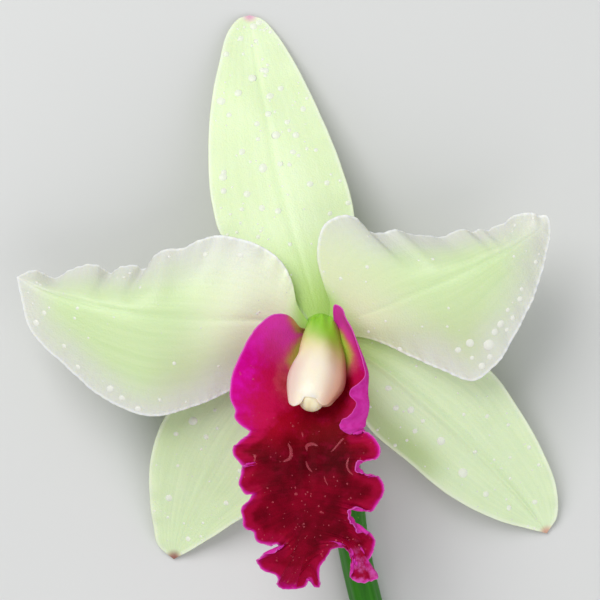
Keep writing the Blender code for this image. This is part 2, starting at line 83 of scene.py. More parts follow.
# Lateral sepals
LATERAL_LEFT_INNER = [
    (-0.6, -1.5, -1.7), (-2.5, -12, -4.5), (-4, -21, -7.5), (-7.5, -31, -10.5), (-13, -40, -14),
    (-21, -46, -17.5), (-29, -51.4, -21.5), (-34.4, -54.6, -24),
]
LATERAL_LEFT_MID = [
    (-1.3, -1, -1.6), (-9, -9, -3.9), (-17, -19, -8.2), (-24, -30, -12.8), (-29.5, -41, -18.3),
    (-33, -50, -22.2), (-34.4, -54.6, -24),
]
LATERAL_LEFT_OUTER = [
    (-2, 0, -1.6), (-15, -5.5, -4), (-26, -11.5, -7), (-35, -19.5, -10), (-39, -30, -13.5),
    (-39.5, -40, -17.5), (-38.9, -46.2, -20.3), (-37.8, -51.4, -22.5), (-36.2, -53.2, -23.3),
    (-34.4, -54.6, -24),
]
LATERAL_RIGHT_OUTER = [
    (2, 0, -1.6), (15, -1.5, -4), (28, -4, -6.5), (38.5, -9, -9), (46, -18.5, -12.5),
    (52, -28.5, -16.5), (55.8, -38, -20.3), (56, -45, -23), (54, -48.5, -24),
]
LATERAL_RIGHT_MID = [
    (1.3, -1, -1.6), (11, -6.5, -3.6), (25, -17.5, -9), (40, -32, -16.5), (49, -42, -21.5),
    (54, -48.5, -24),
]
LATERAL_RIGHT_INNER = [
    (0.6, -1.5, -1.7), (6, -14, -5), (12, -23.3, -8.5), (20, -30.2, -12), (30, -38.5, -15.5),
    (41, -44.5, -19.5), (54, -48.5, -24),
]

# Petals, whose scalloped upper margins roll away from the viewer
PETAL_LEFT_LOWER = [
    (-1.5, -0.8, -0.7), (-11, -6.5, -0.3), (-20, -13.5, -1.5), (-29, -17.5, -2), (-38, -19.5, -2),
    (-48, -16, -2.5), (-58, -8, -3.5), (-65.5, -0.5, -4), (-69, 12, -5),
]
PETAL_LEFT_MID = [
    (-1.5, 0.8, -0.6), (-14, 2.2, 1.8), (-26, 2.5, 3), (-40, 3.5, 3), (-52, 6, 1), (-63, 9.5, -3),
    (-69, 12, -5),
]
PETAL_LEFT_UPPER = [
    (-2.4, 1.6, -0.7), (-4.9, 5.2, 0.1), (-6.4, 11, 1), (-9, 15.6, 1.6), (-13.2, 18.7, 1.4),
    (-18.4, 20.6, 0.3), (-24, 21.2, -0.6), (-27.8, 20.1, -2.5), (-30.4, 18.8, -3.5),
    (-35.2, 18.2, -3.3), (-38.4, 16.2, -5), (-40.5, 13.8, -7.2), (-42.2, 14.8, -6.3), (-45, 14.5, -6.4),
    (-47.8, 13.1, -8), (-50, 14.4, -7.2), (-53, 14.9, -7), (-57.6, 13.3, -8.3), (-60.6, 11.8, -9),
    (-65.4, 13.6, -6.8), (-69, 12, -5),
]
PETAL_RIGHT_UPPER = [
    (2, 1.8, -0.7), (2.3, 5.4, 0.1), (0.9, 10, 1.5), (-0.6, 17, 2.5), (1.4, 24, 2.6), (5.8, 25.8, 1.7),
    (8.4, 25.1, 0.6), (11.8, 22, -1.6), (14.2, 22.1, -2.6), (17, 22.8, -3), (19.4, 22.1, -4.3),
    (23, 21.6, -5.2), (28, 21.3, -5.9), (30.8, 22.4, -5), (32.8, 22.9, -4.5), (34.7, 22.4, -5.2),
    (36.3, 22.9, -4.2), (37.9, 22.5, -4.7), (39.6, 23.6, -3.4), (41.6, 24.2, -2.8), (43.4, 25.7, -1.2),
    (45.6, 26.3, 0.4), (47.8, 26.2, 1.5), (49.2, 25.7, 1.3), (50.8, 25.7, 1.7), (51.5, 24.3, 2),
]
PETAL_RIGHT_MID = [
    (1.5, 1, -0.6), (12.5, 4.5, 1.8), (20, 8, 3.2), (30, 12, 4.5), (39, 16.5, 4), (46, 20.5, 3),
    (51.5, 24.3, 2),
]
PETAL_RIGHT_LOWER = [
    (1.5, -0.5, -0.7), (12, -2.2, -0.8), (20.5, -6, -1.5), (28.5, -9.5, -1.5), (34.5, -11.5, -1),
    (39, -8.5, -0.5), (44.5, 0, 0), (48.5, 8.5, 0.5), (50.6, 16, 1), (51.6, 21.8, 1.8), (51.5, 24.3, 2),
]

# Lip. Each point starts with its station, the share of the way along the lip at which it lies.
LIP_RIGHT = [
    (0, 3.4, 0.2, 1.4), (0.03, 2.8, 4.4, 6.4), (0.05, 3.3, 5.7, 7.6), (0.065, 4.6, 5, 8.8),
    (0.085, 5.4, 3, 9.9), (0.12, 6.8, 0.4, 11.5), (0.16, 8.1, -3.3, 13), (0.2, 9.2, -7, 14.2),
    (0.235, 9.5, -9.8, 16), (0.26, 8.2, -11.2, 17.5), (0.285, 6.5, -12.5, 17.8),
    (0.305, 6.2, -13.8, 17.2), (0.33, 7.6, -15.5, 18.2), (0.355, 6.7, -17.5, 18.8),
    (0.385, 4.3, -19.6, 18.6), (0.405, 4.3, -21.2, 17.8), (0.42, 6.5, -22.3, 16.5),
    (0.435, 9.1, -21.7, 15.4), (0.45, 10.9, -22.6, 15.6), (0.475, 12.9, -25.4, 16.2),
    (0.495, 12.3, -27.5, 16.8), (0.51, 10.6, -28.5, 17.6), (0.525, 8.6, -28.3, 18.6),
    (0.54, 8.2, -29.5, 18.8), (0.56, 9.7, -30.5, 17.8), (0.58, 11.7, -30.8, 17.2),
    (0.605, 13.4, -32.7, 16.6), (0.64, 13.1, -36, 16.4), (0.665, 11.7, -37.9, 16.8),
    (0.685, 10.4, -39.2, 17.2), (0.7, 8, -38.8, 18.6), (0.715, 6, -38.8, 19.2),
    (0.735, 7.1, -40.9, 19.2), (0.755, 8.2, -43.1, 18.6), (0.77, 9.9, -43, 17.8),
    (0.785, 11.5, -44.1, 17.2), (0.8, 11.7, -46.1, 16.8), (0.812, 10.9, -48.5, 17),
    (0.822, 10, -50.1, 16.4), (0.832, 10.8, -51.4, 16.2), (0.842, 12.6, -52.9, 16.4),
    (0.852, 11, -54.1, 17.2), (0.862, 8.9, -54.6, 16.6), (0.872, 6.5, -53.7, 17.2),
    (0.882, 6.2, -52.4, 16.6), (0.892, 7.6, -51.2, 15.8), (0.902, 7.8, -49.5, 16),
    (0.912, 6.5, -48.3, 16.6), (0.93, 3.1, -47.1, 16.2), (0.945, 1.7, -48.4, 16),
    (0.957, -0.2, -51, 16.6), (0.966, -0.2, -53.3, 16.6), (0.975, -0.4, -55.7, 16),
    (0.982, -1.7, -55.2, 15.6), (0.989, -2.5, -53.8, 16), (0.995, -3.5, -55.6, 15.4),
    (1, -5.4, -56.2, 14.8),
]
LIP_RIGHT_WALL = [
    (0, 2.6, -1.5, 1), (0.05, 4.3, 0.5, 4), (0.11, 6.1, -1.8, 7.5), (0.17, 7.9, -5.5, 9.8),
    (0.23, 9.3, -9.6, 12), (0.3, 9.8, -14, 13.6), (0.38, 9.6, -19, 14.6), (0.43, 8.6, -22, 14.6),
    (0.47, 7.6, -25, 15.2), (0.57, 7, -31, 17), (0.7, 5, -38, 17.5), (0.78, 6, -41.8, 17.2),
    (0.86, 6.6, -46, 17), (0.9, 4.6, -46, 17), (0.93, 2.2, -46, 16.8), (0.96, -1.2, -49.2, 16.6),
    (1, -5.4, -56.2, 14.8),
]
LIP_SPINE = [
    (0, 0, -2.6, 0.8), (0.11, -0.5, -8, 3.5), (0.24, -1.5, -14, 7.5), (0.37, -2, -20, 11.5),
    (0.52, -2.5, -28, 15), (0.66, -2.5, -35, 17), (0.8, -3, -40.5, 17.3), (0.92, -3.4, -47.5, 16.8),
    (1, -5.4, -56.2, 14.8),
]
LIP_LEFT_WALL = [
    (0, -2.6, -1.5, 1), (0.05, -4.6, -0.8, 3.2), (0.11, -6.8, -2.8, 5), (0.2, -9.5, -8, 7.8),
    (0.3, -10.5, -14.5, 10.8), (0.42, -9.5, -22.5, 14.8), (0.55, -9.8, -30, 16.8),
    (0.68, -9.5, -37, 17.6), (0.8, -6.5, -44, 17.4), (0.92, -6.6, -50.5, 16.8), (1, -5.4, -56.2, 14.8),
]
LIP_LEFT = [
    (0, -3.1, 0.2, 1.3), (0.03, -4.6, 0.8, 4), (0.055, -6.3, 2.8, 6.5), (0.1, -9.8, 3.6, 9.3),
    (0.16, -14, 0.7, 10.5), (0.23, -17.5, -5.2, 11), (0.31, -19.7, -12, 11.5), (0.34, -19.6, -15.3, 12),
    (0.355, -18.6, -17.3, 12.8), (0.37, -18.8, -18.8, 12.6), (0.39, -17.5, -20.5, 13.6),
    (0.41, -15.4, -21.7, 15.2), (0.425, -16.1, -22.8, 16), (0.44, -17.8, -23.9, 15.8),
    (0.46, -19, -25.4, 15.4), (0.48, -18.9, -26.9, 15.6), (0.495, -17.6, -28.2, 16.4),
    (0.51, -16, -28.6, 17.4), (0.525, -16.7, -29.6, 17.2), (0.55, -17.3, -31.4, 16.6),
    (0.585, -17.7, -33.6, 16.6), (0.6, -16.9, -34.7, 17), (0.62, -14.7, -35.2, 17.8),
    (0.64, -15.4, -37, 17.6), (0.66, -17.1, -38.8, 17), (0.69, -17, -40.7, 16.8),
    (0.72, -16.5, -42.9, 16.8), (0.74, -14.7, -43.7, 17.2), (0.76, -13.8, -45.7, 17.2),
    (0.775, -11.9, -46, 17.8), (0.79, -9.8, -45.7, 18.6), (0.805, -8.5, -47, 18.6),
    (0.82, -10.4, -48.1, 18.2), (0.835, -12.5, -48.8, 17.6), (0.85, -13.9, -49.6, 16.8),
    (0.865, -13.2, -51, 16.4), (0.885, -11.3, -51.9, 16.4), (0.9, -9.5, -52.7, 16.6),
    (0.915, -9.5, -54.4, 16.2), (0.93, -9.1, -55.5, 15.8), (0.96, -7.6, -56.1, 15.4),
    (1, -5.4, -56.2, 14.8),
]

# How finely each kind of blade is divided from base to tip and from margin to margin, and how far
# its points crowd towards the margins
SEPAL_GRID, PETAL_GRID, LIP_GRID, CROWDING = (130, 56), (220, 72), (460, 92), 0.5
LENGTH_SAMPLES, NORMAL_SMOOTHINGS = 2000, 2

# A ripple lifts a margin by height, with a crest about every wavelength, inside depth of the edge
Ripple = namedtuple("Ripple", "height wavelength depth")
SEPAL_RIPPLE = Ripple(0.18, 9, 4)
PETAL_RIPPLES = [Ripple(0.2, 7, 5), Ripple(0.14, 2.2, 1.6)]
FRILL_RIPPLES, TAIL_RIPPLE = [Ripple(0.45, 4.2, 5), Ripple(0.16, 1.5, 1.6)], Ripple(0.24, 2, 2.5)

# The slow swell of a blade's face: how high it rises and falls, and over what distance it turns
SEPAL_SWELL, PETAL_SWELL, LIP_SWELL = (0.35, 11), (0.6, 13), (1.1, 6)

# A blade's thickness, and what its base and the keel along its back add to it
SEPAL_THICKNESS, PETAL_THICKNESS, LIP_THICKNESS = (0.5, 0.5, 0.5), (0.4, 0.5, 0.4), 0.34

# Where the veins lie, from -1 at the first margin to 1 at the last, and their width and depth
SEPAL_VEINS, SEPAL_VEIN_WIDTH = (0, -0.18, 0.18, -0.36, 0.36, -0.54, 0.54, -0.72, 0.72), 0.035
PETAL_VEINS, PETAL_VEIN_WIDTH = [0.11 * k for k in range(-8, 9)], 0.02
VEIN_DEPTH, VEIN_DRIFT = 0.02, 0.02
PETAL_RIDGE, LIP_KEEL = -0.3, 0.2

# A sepal: its lines, how high its midrib stands, the colours of its body and its tip, how far the
# tip's colour reaches, how strongly shade is painted on its side nearer its last line, and its seed.
# Colours here and in the finishes are red, green and blue as they show on a screen, from 0 to 255.
Sepal = namedtuple("Sepal", "lines ridge body tip tip_reach deeper seed")
SEPALS = {
    "dorsal_sepal": Sepal(
        (DORSAL_LEFT, DORSAL_MID, DORSAL_RIGHT),
        -0.15, (220, 239, 186), (226, 172, 190), 2.4, 0.12, 11,
    ),
    "lateral_sepal_left": Sepal(
        (LATERAL_LEFT_INNER, LATERAL_LEFT_MID, LATERAL_LEFT_OUTER),
        0.3, (202, 222, 172), (150, 100, 88), 3, 0.3, 12,
    ),
    "lateral_sepal_right": Sepal(
        (LATERAL_RIGHT_OUTER, LATERAL_RIGHT_MID, LATERAL_RIGHT_INNER),
        0.6, (206, 226, 178), (206, 160, 138), 2.6, 0.8, 13,
    ),
}

# A petal: its lines, how wide the blush is along its first and last margin, the colour of its base
# and how far that reaches, which on the left petal is lightened as painted light, the side of its
# lower half where shade is painted, and its seed
Petal = namedtuple("Petal", "lines blush_widths base base_reach lower_side seed")
PETALS = {
    # The left petal's base is lighter and reaches further than the right's: painted light against the
    # shade near the lip
    "petal_left": Petal(
        (PETAL_LEFT_LOWER, PETAL_LEFT_MID, PETAL_LEFT_UPPER), (12, 15), (244, 248, 216), 34, -1, 21
    ),
    "petal_right": Petal(
        (PETAL_RIGHT_UPPER, PETAL_RIGHT_MID, PETAL_RIGHT_LOWER), (14, 13), (222, 226, 188), 26, 1, 24
    ),
}
LIP_SEED, WATER_SEED = 31, 40

# Column: its middle line, and its half width and half depth at even steps along it
COLUMN_LINE = [
    (0.3, 0.8, -0.9), (0.5, 1, 2), (0.2, -3, 6.5), (0.2, -6, 9), (-0.45, -9, 11.5), (-2.2, -15.5, 16),
]
COLUMN_HALF_WIDTHS = [3.6, 3.2, 3.6, 4.05, 4.45, 4.85, 5.25, 5.7, 6.15, 6.4, 6.25, 5.7, 4.9]
COLUMN_HALF_DEPTHS = [2.6, 2.4, 2.4, 2.5, 2.6, 2.8, 3, 3.1, 3.2, 3.2, 3.1, 3, 2.8]
COLUMN_RINGS, COLUMN_SIDES, COLUMN_REACH, COLUMN_LENGTH = 90, 96, 0.05, 24

# Each wing of the column's end reaches beyond it, round a middle place across it
Wing = namedtuple("Wing", "reach middle width")
WINGS, WING_START = [Wing(2, -0.76, 0.3), Wing(0.6, 0.62, 0.26)], 0.76
END_SLANT, END_CORNERS = 0.2, 1.2
HOOD, NOTCH_DEPTH, NOTCH_WIDTH = 1.1, 0.9, 0.52
LUMP_HEIGHT, LUMP_COUNT = 0.12, 3
POCKET_WIDTH, POCKET_HEIGHT, POCKET_DEPTH, POCKET_DRAFT = 2.95, 2.5, 1.1, 0.9

# The rim of the column's end: how far each ring has closed in on the pocket, and how far it stands.
# The pocket's mouth has this share of the shape of the end.
COLUMN_RIM = [(0.12, 0.06), (0.4, 0.02), (0.75, -0.1), (1, -0.4)]
MOUTH_SHAPE = 0.8

# Anther cap and the pollinia under it
CAP_RADIUS, CAP_HEIGHT, CAP_WALL, CAP_LIFT, CAP_FLATNESS = 2.8, 2.6, 0.6, 0.4, 0.9
CAP_RINGS, CAP_SIDES, FURROW_WIDTH, FURROW_DEPTH = 20, 64, 0.45, 0.03
POLLINIA_RADIUS, POLLINIA_MASSES, POLLINIA_RINGS, POLLINIA_SIDES = 1.1, 4, 25, 48

# Stalk: the top where the blades and the column join, and the way down and along the ground
STALK_TOP = [
    (-0.1, 2), (-0.4, 2.8), (-1, 3.4), (-1.8, 3.7), (-2.7, 4.4), (-3.5, 4.5), (-4.5, 4.1), (-6, 3.6),
]
STALK_LINE = [
    (0, 0, -8), (0.5, -2.5, -13.5), (1.8, -9, -18), (3.5, -19, -20.1), (6, -35, -20.3),
    (8.3, -52, -20.3), (11.3, -65, -20.3), (14.8, -77, -20.3),
]
STALK_RADII = [3.5, 3.8, 4, 3.8, 3.6, 3.6, 3.6]
STALK_RINGS, STALK_SIDES, STALK_REACH = 150, 72, 0.02
RIB_COUNT, RIB_HEIGHT, RIB_RISE = 6, 0.04, 0.15

# The lengths of the stalk's top and of the rest, and the rings of its cut end: each one's share of
# the stalk's radius, and how far it stands out
TOP_LENGTH, STALK_LENGTH = 8, 90
STALK_CUT = [(0.96, 0.15), (0.88, 0.1), (0.6, 0), (0.25, -0.15)]

# Beads of water that show in the photograph: the pixel where each lies, and its radius
BEADS = {
    "dorsal_sepal": [
        (256, 41, 0.6), (262, 70, 0.7), (252, 78, 1.1), (238, 93, 1.0), (270, 96, 1.0), (221, 101, 1.1),
        (303, 109, 0.8), (268, 114, 0.8), (287, 122, 0.7), (276, 135, 1.1), (296, 135, 0.9),
        (242, 152, 0.9), (293, 152, 0.8), (263, 168, 1.3), (223, 177, 1.0), (247, 194, 0.9),
        (278, 211, 0.8), (310, 184, 0.8), (280, 164, 0.7), (229, 115, 0.7), (262, 208, 0.8),
        (348, 203, 0.7), (258, 139, 0.6), (316, 150, 0.6),
    ],
    "petal_right": [
        (522, 289, 0.6), (520, 299, 0.8), (501, 324, 0.9), (495, 332, 0.9), (470, 343, 1.0),
        (489, 345, 1.4), (490, 357, 0.8), (482, 366, 0.9), (458, 350, 0.7), (513, 318, 0.6),
        (507, 330, 0.6), (472, 358, 0.6), (400, 349, 0.6), (508, 310, 0.6), (536, 262, 0.6),
    ],
    "petal_left": [
        (36, 323, 0.8), (44, 313, 0.6), (110, 389, 1.0), (78, 367, 0.7), (138, 409, 0.8),
        (240, 255, 0.7), (205, 254, 0.6), (122, 398, 0.7), (64, 346, 0.6), (130, 273, 0.5),
    ],
    "lateral_sepal_left": [
        (193, 421, 1.1), (169, 498, 0.9), (206, 437, 0.7), (176, 434, 0.6), (188, 539, 0.7),
        (226, 503, 0.7), (240, 471, 0.6),
    ],
    "lateral_sepal_right": [
        (388, 388, 0.7), (396, 408, 0.8), (411, 410, 0.9), (441, 441, 1.2), (463, 473, 1.2),
        (415, 431, 0.7), (486, 494, 0.8), (423, 421, 0.6), (509, 508, 0.8), (535, 502, 0.7),
        (475, 452, 0.6),
    ],
    "lip": [(255, 456, 0.35), (296, 494, 0.4), (293, 426, 0.3), (321, 512, 0.3)],
}

# Fine droplets strewn over each blade: how many, and their smallest and largest radius. Then the
# shares of its rows and columns that they lie between, and how oval a bead may be.
DEW = {
    "dorsal_sepal": (90, 0.25, 0.9), "petal_right": (60, 0.12, 0.5), "petal_left": (60, 0.12, 0.5),
    "lateral_sepal_left": (50, 0.15, 0.6), "lateral_sepal_right": (70, 0.15, 0.6),
    "lip": (190, 0.12, 0.26),
}
DEW_ROWS, DEW_COLUMNS, DROP_OVAL = (0.12, 0.96), (0.06, 0.94), (0.85, 1.15)
DROP_HEIGHT, DROP_RINGS, DROP_SIDES, DROP_SINK = 0.24, 8, 20, 0.05

# Films of water that glint on the lip: the pixels that each runs through, and its half width
FILMS = [
    ([(288, 443), (291, 450), (290, 458), (283, 462)], 0.38),
    ([(307, 451), (307, 446), (312, 444), (318, 446)], 0.42),
    ([(348, 434), (341, 441), (335, 448), (331, 452)], 0.26),
    ([(349, 457), (347, 465), (349, 471), (353, 475)], 0.26),
    ([(306, 461), (308, 467), (312, 472)], 0.24),
    ([(324, 476), (326, 482), (328, 485)], 0.15),
    ([(302, 432), (303, 437)], 0.18),
    ([(253, 454), (255, 458), (254, 462)], 0.2),
]
FILM_RINGS, FILM_SIDES, FILM_HEIGHT = 24, 12, 0.45

# The floor's half side, and each light's name, place, side and power, all lengths in metres
FLOOR_REACH = 1.5
LIGHTS = [
    ("key_light", (-0.35, 0.45, 0.75), 0.6, 6),
    ("fill_light", (0.35, -0.6, 0.6), 0.9, 3.4),
]
SKY_COLOUR, SKY_STRENGTH = (236, 240, 244), 0.48


def run_of(points):
    """How far along a line of points each of them lies."""
    steps = np.linalg.norm(np.diff(points, axis=0), axis=1)
    return np.concatenate([[0], np.cumsum(steps)])


class Curve:
    """A smooth curve through points, read by shares of the way from 0 to 1.

    A point of four numbers starts with its own share. Otherwise the share goes by distance, or by
    count where even is set.
    """

    def __init__(self, points, even=False):
        points = np.array(points, float)
        self.points = points[:, -3:]
        if points.shape[1] == 4:
            self.knots = points[:, 0]
        else:
            self.knots = np.arange(len(points)) * 1.0 if even else run_of(self.points)
        gaps = np.diff(self.knots)[:, None]
        slopes = np.diff(self.points, axis=0) / gaps
        inner = (slopes[:-1] * gaps[1:] + slopes[1:] * gaps[:-1]) / (gaps[:-1] + gaps[1:])
        self.tangents = np.vstack([slopes[:1], inner, slopes[-1:]])

    def at(self, shares):
        reach = np.clip(shares, 0, 1) * self.knots[-1]
        i = np.clip(np.searchsorted(self.knots, reach, side="right"), 1, len(self.knots) - 1) - 1
        gap = self.knots[i + 1] - self.knots[i]
        s = ((reach - self.knots[i]) / gap)[..., None]
        gap = gap[..., None]
        ease = s * s * (3 - 2 * s)
        pull = self.tangents[i] * gap * s * (1 - s) ** 2
        push = self.tangents[i + 1] * gap * s * s * (s - 1)
        return self.points[i] * (1 - ease) + self.points[i + 1] * ease + pull + push


def eased(values, shares):
    """A few even-spaced values, read smoothly at shares from 0 to 1."""
    return Curve([(value, 0, 0) for value in values], even=True).at(shares)[..., 0]


def smooth_step(low, high, value):
    s = np.clip((value - low) / (high - low), 0, 1)
    return s * s * (3 - 2 * s)


def wander(places, spacing, seed):
    """A smooth random line between -1 and 1 that turns about once every spacing."""
    places = (places - places.min()) / spacing
    knots = np.random.default_rng(seed).uniform(-1, 1, int(places.max()) + 2)
    i = places.astype(int)
    s = smooth_step(0, 1, places - i)
    return knots[i] * (1 - s) + knots[i + 1] * s


def unit(vectors):
    return vectors / np.maximum(np.linalg.norm(vectors, axis=-1, keepdims=True), 1e-9)


def peak(value, middle, width, power=2):
    """A smooth hump that is 1 at its middle. A larger power makes it flatter and steeper."""
    return np.exp(-(((value - middle) / width) ** power))


def row_shares(curves, rows):
    """Shares that cut the blade into rows which are as tall as each other at their tallest."""
    shares = np.linspace(0, 1, LENGTH_SAMPLES + 1)
    lines = np.array([curve.at(shares) for curve in curves])
    steps = np.linalg.norm(np.diff(lines, axis=1), axis=2).max(axis=0)
    reached = np.concatenate([[0], np.cumsum(steps)])
    return np.interp(np.linspace(0, reached[-1], rows + 1), reached, shares)


def over_columns(values, columns):
    """One value for each row, repeated over the columns."""
    return np.tile(values[:, None], (1, columns))


class Sheet:
    """A blade's front face: rows of points from its base to its tip, and what is measured on them."""

    def __init__(self, lines, grid):
        rows, columns = grid
        curves = [Curve(line) for line in lines]
        self.shares = row_shares(curves, rows)
        at_rows = np.array([curve.at(self.shares) for curve in curves])
        even = np.linspace(0, 1, columns + 1)
        crowded = 0.5 - 0.5 * np.cos(math.pi * even)
        across = even + (crowded - even) * CROWDING
        slopes = np.gradient(at_rows, axis=0)
        place = across * (len(lines) - 1)
        i = np.minimum(place.astype(int), len(lines) - 2)
        s = (place - i)[:, None, None]
        ease = s * s * (3 - 2 * s)
        bend = slopes[i] * s * (1 - s) ** 2 + slopes[i + 1] * s * s * (s - 1)
        points = at_rows[i] * (1 - ease) + at_rows[i + 1] * ease + bend
        self.points = points.transpose(1, 0, 2)
        self.side = np.tile(2 * across - 1, (rows + 1, 1))
        self.measure()

    def measure(self):
        """Millimetres along from the base, from the tip, in from the margin, and along the margins."""
        rows, columns = self.points.shape[:2]
        self.along = over_columns(run_of(self.points[:, columns // 2]), columns)
        self.to_tip = np.linalg.norm(self.points - self.points[-1, 0], axis=2)
        first, last = self.points[:, 0], self.points[:, -1]
        tree = KDTree(2 * rows)
        for i, point in enumerate(np.vstack([first, last])):
            tree.insert(point, i)
        tree.balance()
        flat = self.points.reshape(-1, 3)
        self.edge = np.array([tree.find(point)[2] for point in flat]).reshape(rows, columns)
        left, right = over_columns(run_of(first), columns), over_columns(run_of(last), columns)
        self.along_margin = np.where(self.side < 0, left, right + left.max())

    def normals(self):
        """The way each point faces, evened out so that the back face doesn't fold."""
        along = np.gradient(self.points, axis=0)
        across = np.gradient(self.points, axis=1)
        facing = unit(np.cross(across, along))
        facing[-1] = unit(facing[-2].sum(axis=0))
        for _ in range(NORMAL_SMOOTHINGS):
            padded = np.pad(facing, ((1, 1), (1, 1), (0, 0)), mode="edge")
            beside = padded[:-2, 1:-1] + padded[2:, 1:-1] + padded[1:-1, :-2] + padded[1:-1, 2:]
            facing = unit(2 * facing + beside)
        facing[-1] = unit(facing[-1].sum(axis=0))
        return facing

    def raise_by(self, lift):
        """Moves each point by its lift along the way that it faces. The tip stays one point."""
        self.points[:-1] += (self.normals() * lift[..., None])[:-1]

    def ripple(self, ripple, seed, share=1.0):
        """Waves the margins up and down, more towards the edge, with a share of it at each point."""
        strength = share * smooth_step(ripple.depth, 0, self.edge) * smooth_step(2, 12, self.along)
        phase = 2 * math.pi * self.along_margin / ripple.wavelength
        phase += 2 * wander(self.along_margin, 2 * ripple.wavelength, seed)
        sway = 0.65 + 0.35 * wander(self.along_margin, 3 * ripple.wavelength, seed + 1)
        near_tip = smooth_step(0, 4, self.to_tip)
        self.raise_by(ripple.height * np.sin(phase) * sway * strength * near_tip)

    def undulate(self, height, spacing, seed, share=1.0):
        """Gives the face a slow, irregular rise and fall."""
        across = self.side * self.edge.max() + 50
        swell = height * wander(self.along, spacing, seed) * wander(across, spacing, seed + 1)
        fade = smooth_step(3, 15, self.along) * smooth_step(0, 8, self.to_tip)
        self.raise_by(swell * fade * share)

    def veins(self, places, width, seed):
        """How near each point is to a vein, from 0 to 1, for veins at the given places across."""
        pattern = np.zeros(self.side.shape)
        for i, place in enumerate(places):
            drift = VEIN_DRIFT * wander(self.along, 14, seed + i)
            pattern = np.maximum(pattern, peak(self.side, place + drift, width))
        return pattern * smooth_step(0, 0.12, 1 - np.abs(self.side)) * smooth_step(0, 8, self.to_tip)

    def thickness(self, body, at_base, keel):
        """Thin at the margins, thicker at the base and along the midrib."""
        thick = body * (0.5 + 0.5 * smooth_step(0, 2.5, self.edge))
        thick += at_base * smooth_step(22, 0, self.along)
        rib = peak(self.side, 0, 0.1) * smooth_step(0, 16, self.to_tip)
        return thick + keel * rib * smooth_step(0, 0.05, 1 - np.abs(self.side))


def arched(line):
    """A line whose far end is lowered towards the ground. It looks the same from the camera."""
    line = np.array(line, float)
    points = line[:, -3:]
    share = np.clip((ARCH_START - points[:, 1]) / ARCH_LENGTH, 0, None)
    sight = points - CAMERA_FROM_HEART
    line[:, -3:] += sight * (ARCH_DROP * share ** 2 / -sight[:, 2])[:, None]
    return line


def rows_flat(values):
    """A sheet's values as one list, with the tip given once."""
    return np.concatenate([values[:-1].reshape(-1, *values.shape[2:]), values[-1, :1]])


def new_mesh(name, points, faces, measures=None):
    """A smooth-shaded object from points in millimetres about the heart, and its measures."""
    mesh = bpy.data.meshes.new(name)
    mesh.from_pydata(((np.asarray(points) + HEART) * MM).tolist(), [], faces)
    mesh.shade_smooth()
    for label, values in (measures or {}).items():
        mesh.attributes.new(label, "FLOAT", "POINT").data.foreach_set(
            "value", np.asarray(values, np.float32)
        )
    mesh.update()
    piece = bpy.data.objects.new(name, mesh)
    bpy.context.scene.collection.objects.link(piece)
    return piece


def numbered(rows, columns, first=0):
    """A grid of point numbers, row by row."""
    return np.arange(rows * columns).reshape(rows, columns) + first


def grid_faces(place):
    """The four-sided faces between the points of a grid of point numbers."""
    corners = [place[:-1, :-1], place[:-1, 1:], place[1:, 1:], place[1:, :-1]]
    return np.stack(corners, axis=-1).reshape(-1, 4)


def blade(name, sheet, thickness, measures):
    """A closed thin blade with a rounded rim. Its measures say where each of its points lies."""
    front, facing, thick = (rows_flat(v) for v in (sheet.points, sheet.normals(), thickness))
    rows, width = sheet.points.shape[0] - 1, sheet.points.shape[1]
    half = len(front)
    tip = half - 1
    back = front - facing * thick[:, None]
    place = numbered(rows, width)
    edge_loop = np.concatenate([place[0], place[1:, -1], [tip], place[:0:-1, 0]])
    inner_loop = np.concatenate([place[1], place[1:, -2], [place[-1, width // 2]], place[:0:-1, 1]])
    outward = unit(front[edge_loop] - front[inner_loop])
    rim = (front[edge_loop] + back[edge_loop]) / 2 + outward * (thick[edge_loop] / 2)[:, None]
    quads = grid_faces(place)
    fan = np.stack([place[-1, :-1], place[-1, 1:], np.full(width - 1, tip)], axis=-1)
    ahead = np.roll(edge_loop, -1)
    rim_place = np.arange(len(edge_loop)) + 2 * half
    rim_ahead = np.roll(rim_place, -1)
    strips = np.vstack([
        np.stack([ahead, edge_loop, rim_place, rim_ahead], axis=-1),
        np.stack([rim_ahead, rim_place, edge_loop + half, ahead + half], axis=-1),
    ])
    faces = quads.tolist() + fan.tolist() + (quads[:, ::-1] + half).tolist()
    faces += (fan[:, ::-1] + half).tolist() + strips.tolist()
    known = {
        "along": sheet.along, "side": sheet.side, "edge": sheet.edge, "to_tip": sheet.to_tip,
        "run": sheet.along_margin, **measures,
    }
    known = {label: rows_flat(values) for label, values in known.items()}
    known = {label: np.concatenate([v, v, v[edge_loop]]) for label, v in known.items()}
    known["back"] = np.concatenate([np.zeros(half), np.ones(half), np.full(len(edge_loop), 0.5)])
    return new_mesh(name, np.vstack([front, back, rim]), faces, known)


def turns_round(sides):
    return np.arange(sides) * 2 * math.pi / sides


def closed_up(place):
    """A grid of point numbers whose last column meets its first."""
    return np.hstack([place, place[:, :1]])


def ring_body(rings):
    """Points and faces of a closed body through rings of points, with a flat face at each end."""
    rings = np.array(rings)
    place = numbered(*rings.shape[:2])
    faces = grid_faces(closed_up(place)).tolist() + [place[0][::-1].tolist(), place[-1].tolist()]
    return rings.reshape(-1, 3), faces


def turned(profile, sides):
    """Points and faces of a body turned round Z from a list of (radius, z), pole to pole."""
    turns = turns_round(sides)
    radii, heights = np.array(profile[1:-1], float).T
    rings = np.stack([
        np.outer(radii, np.cos(turns)), np.outer(radii, np.sin(turns)), over_columns(heights, sides)
    ], axis=-1)
    place = closed_up(numbered(len(radii), sides, 1))
    last = len(radii) * sides + 1
    low, high = place[0].tolist(), place[-1].tolist()
    faces = grid_faces(place).tolist()
    faces += [(0, b, a) for a, b in zip(low, low[1:])]
    faces += [(a, b, last) for a, b in zip(high, high[1:])]
    points = np.vstack([[(0, 0, profile[0][1])], rings.reshape(-1, 3), [(0, 0, profile[-1][1])]])
    return points, faces


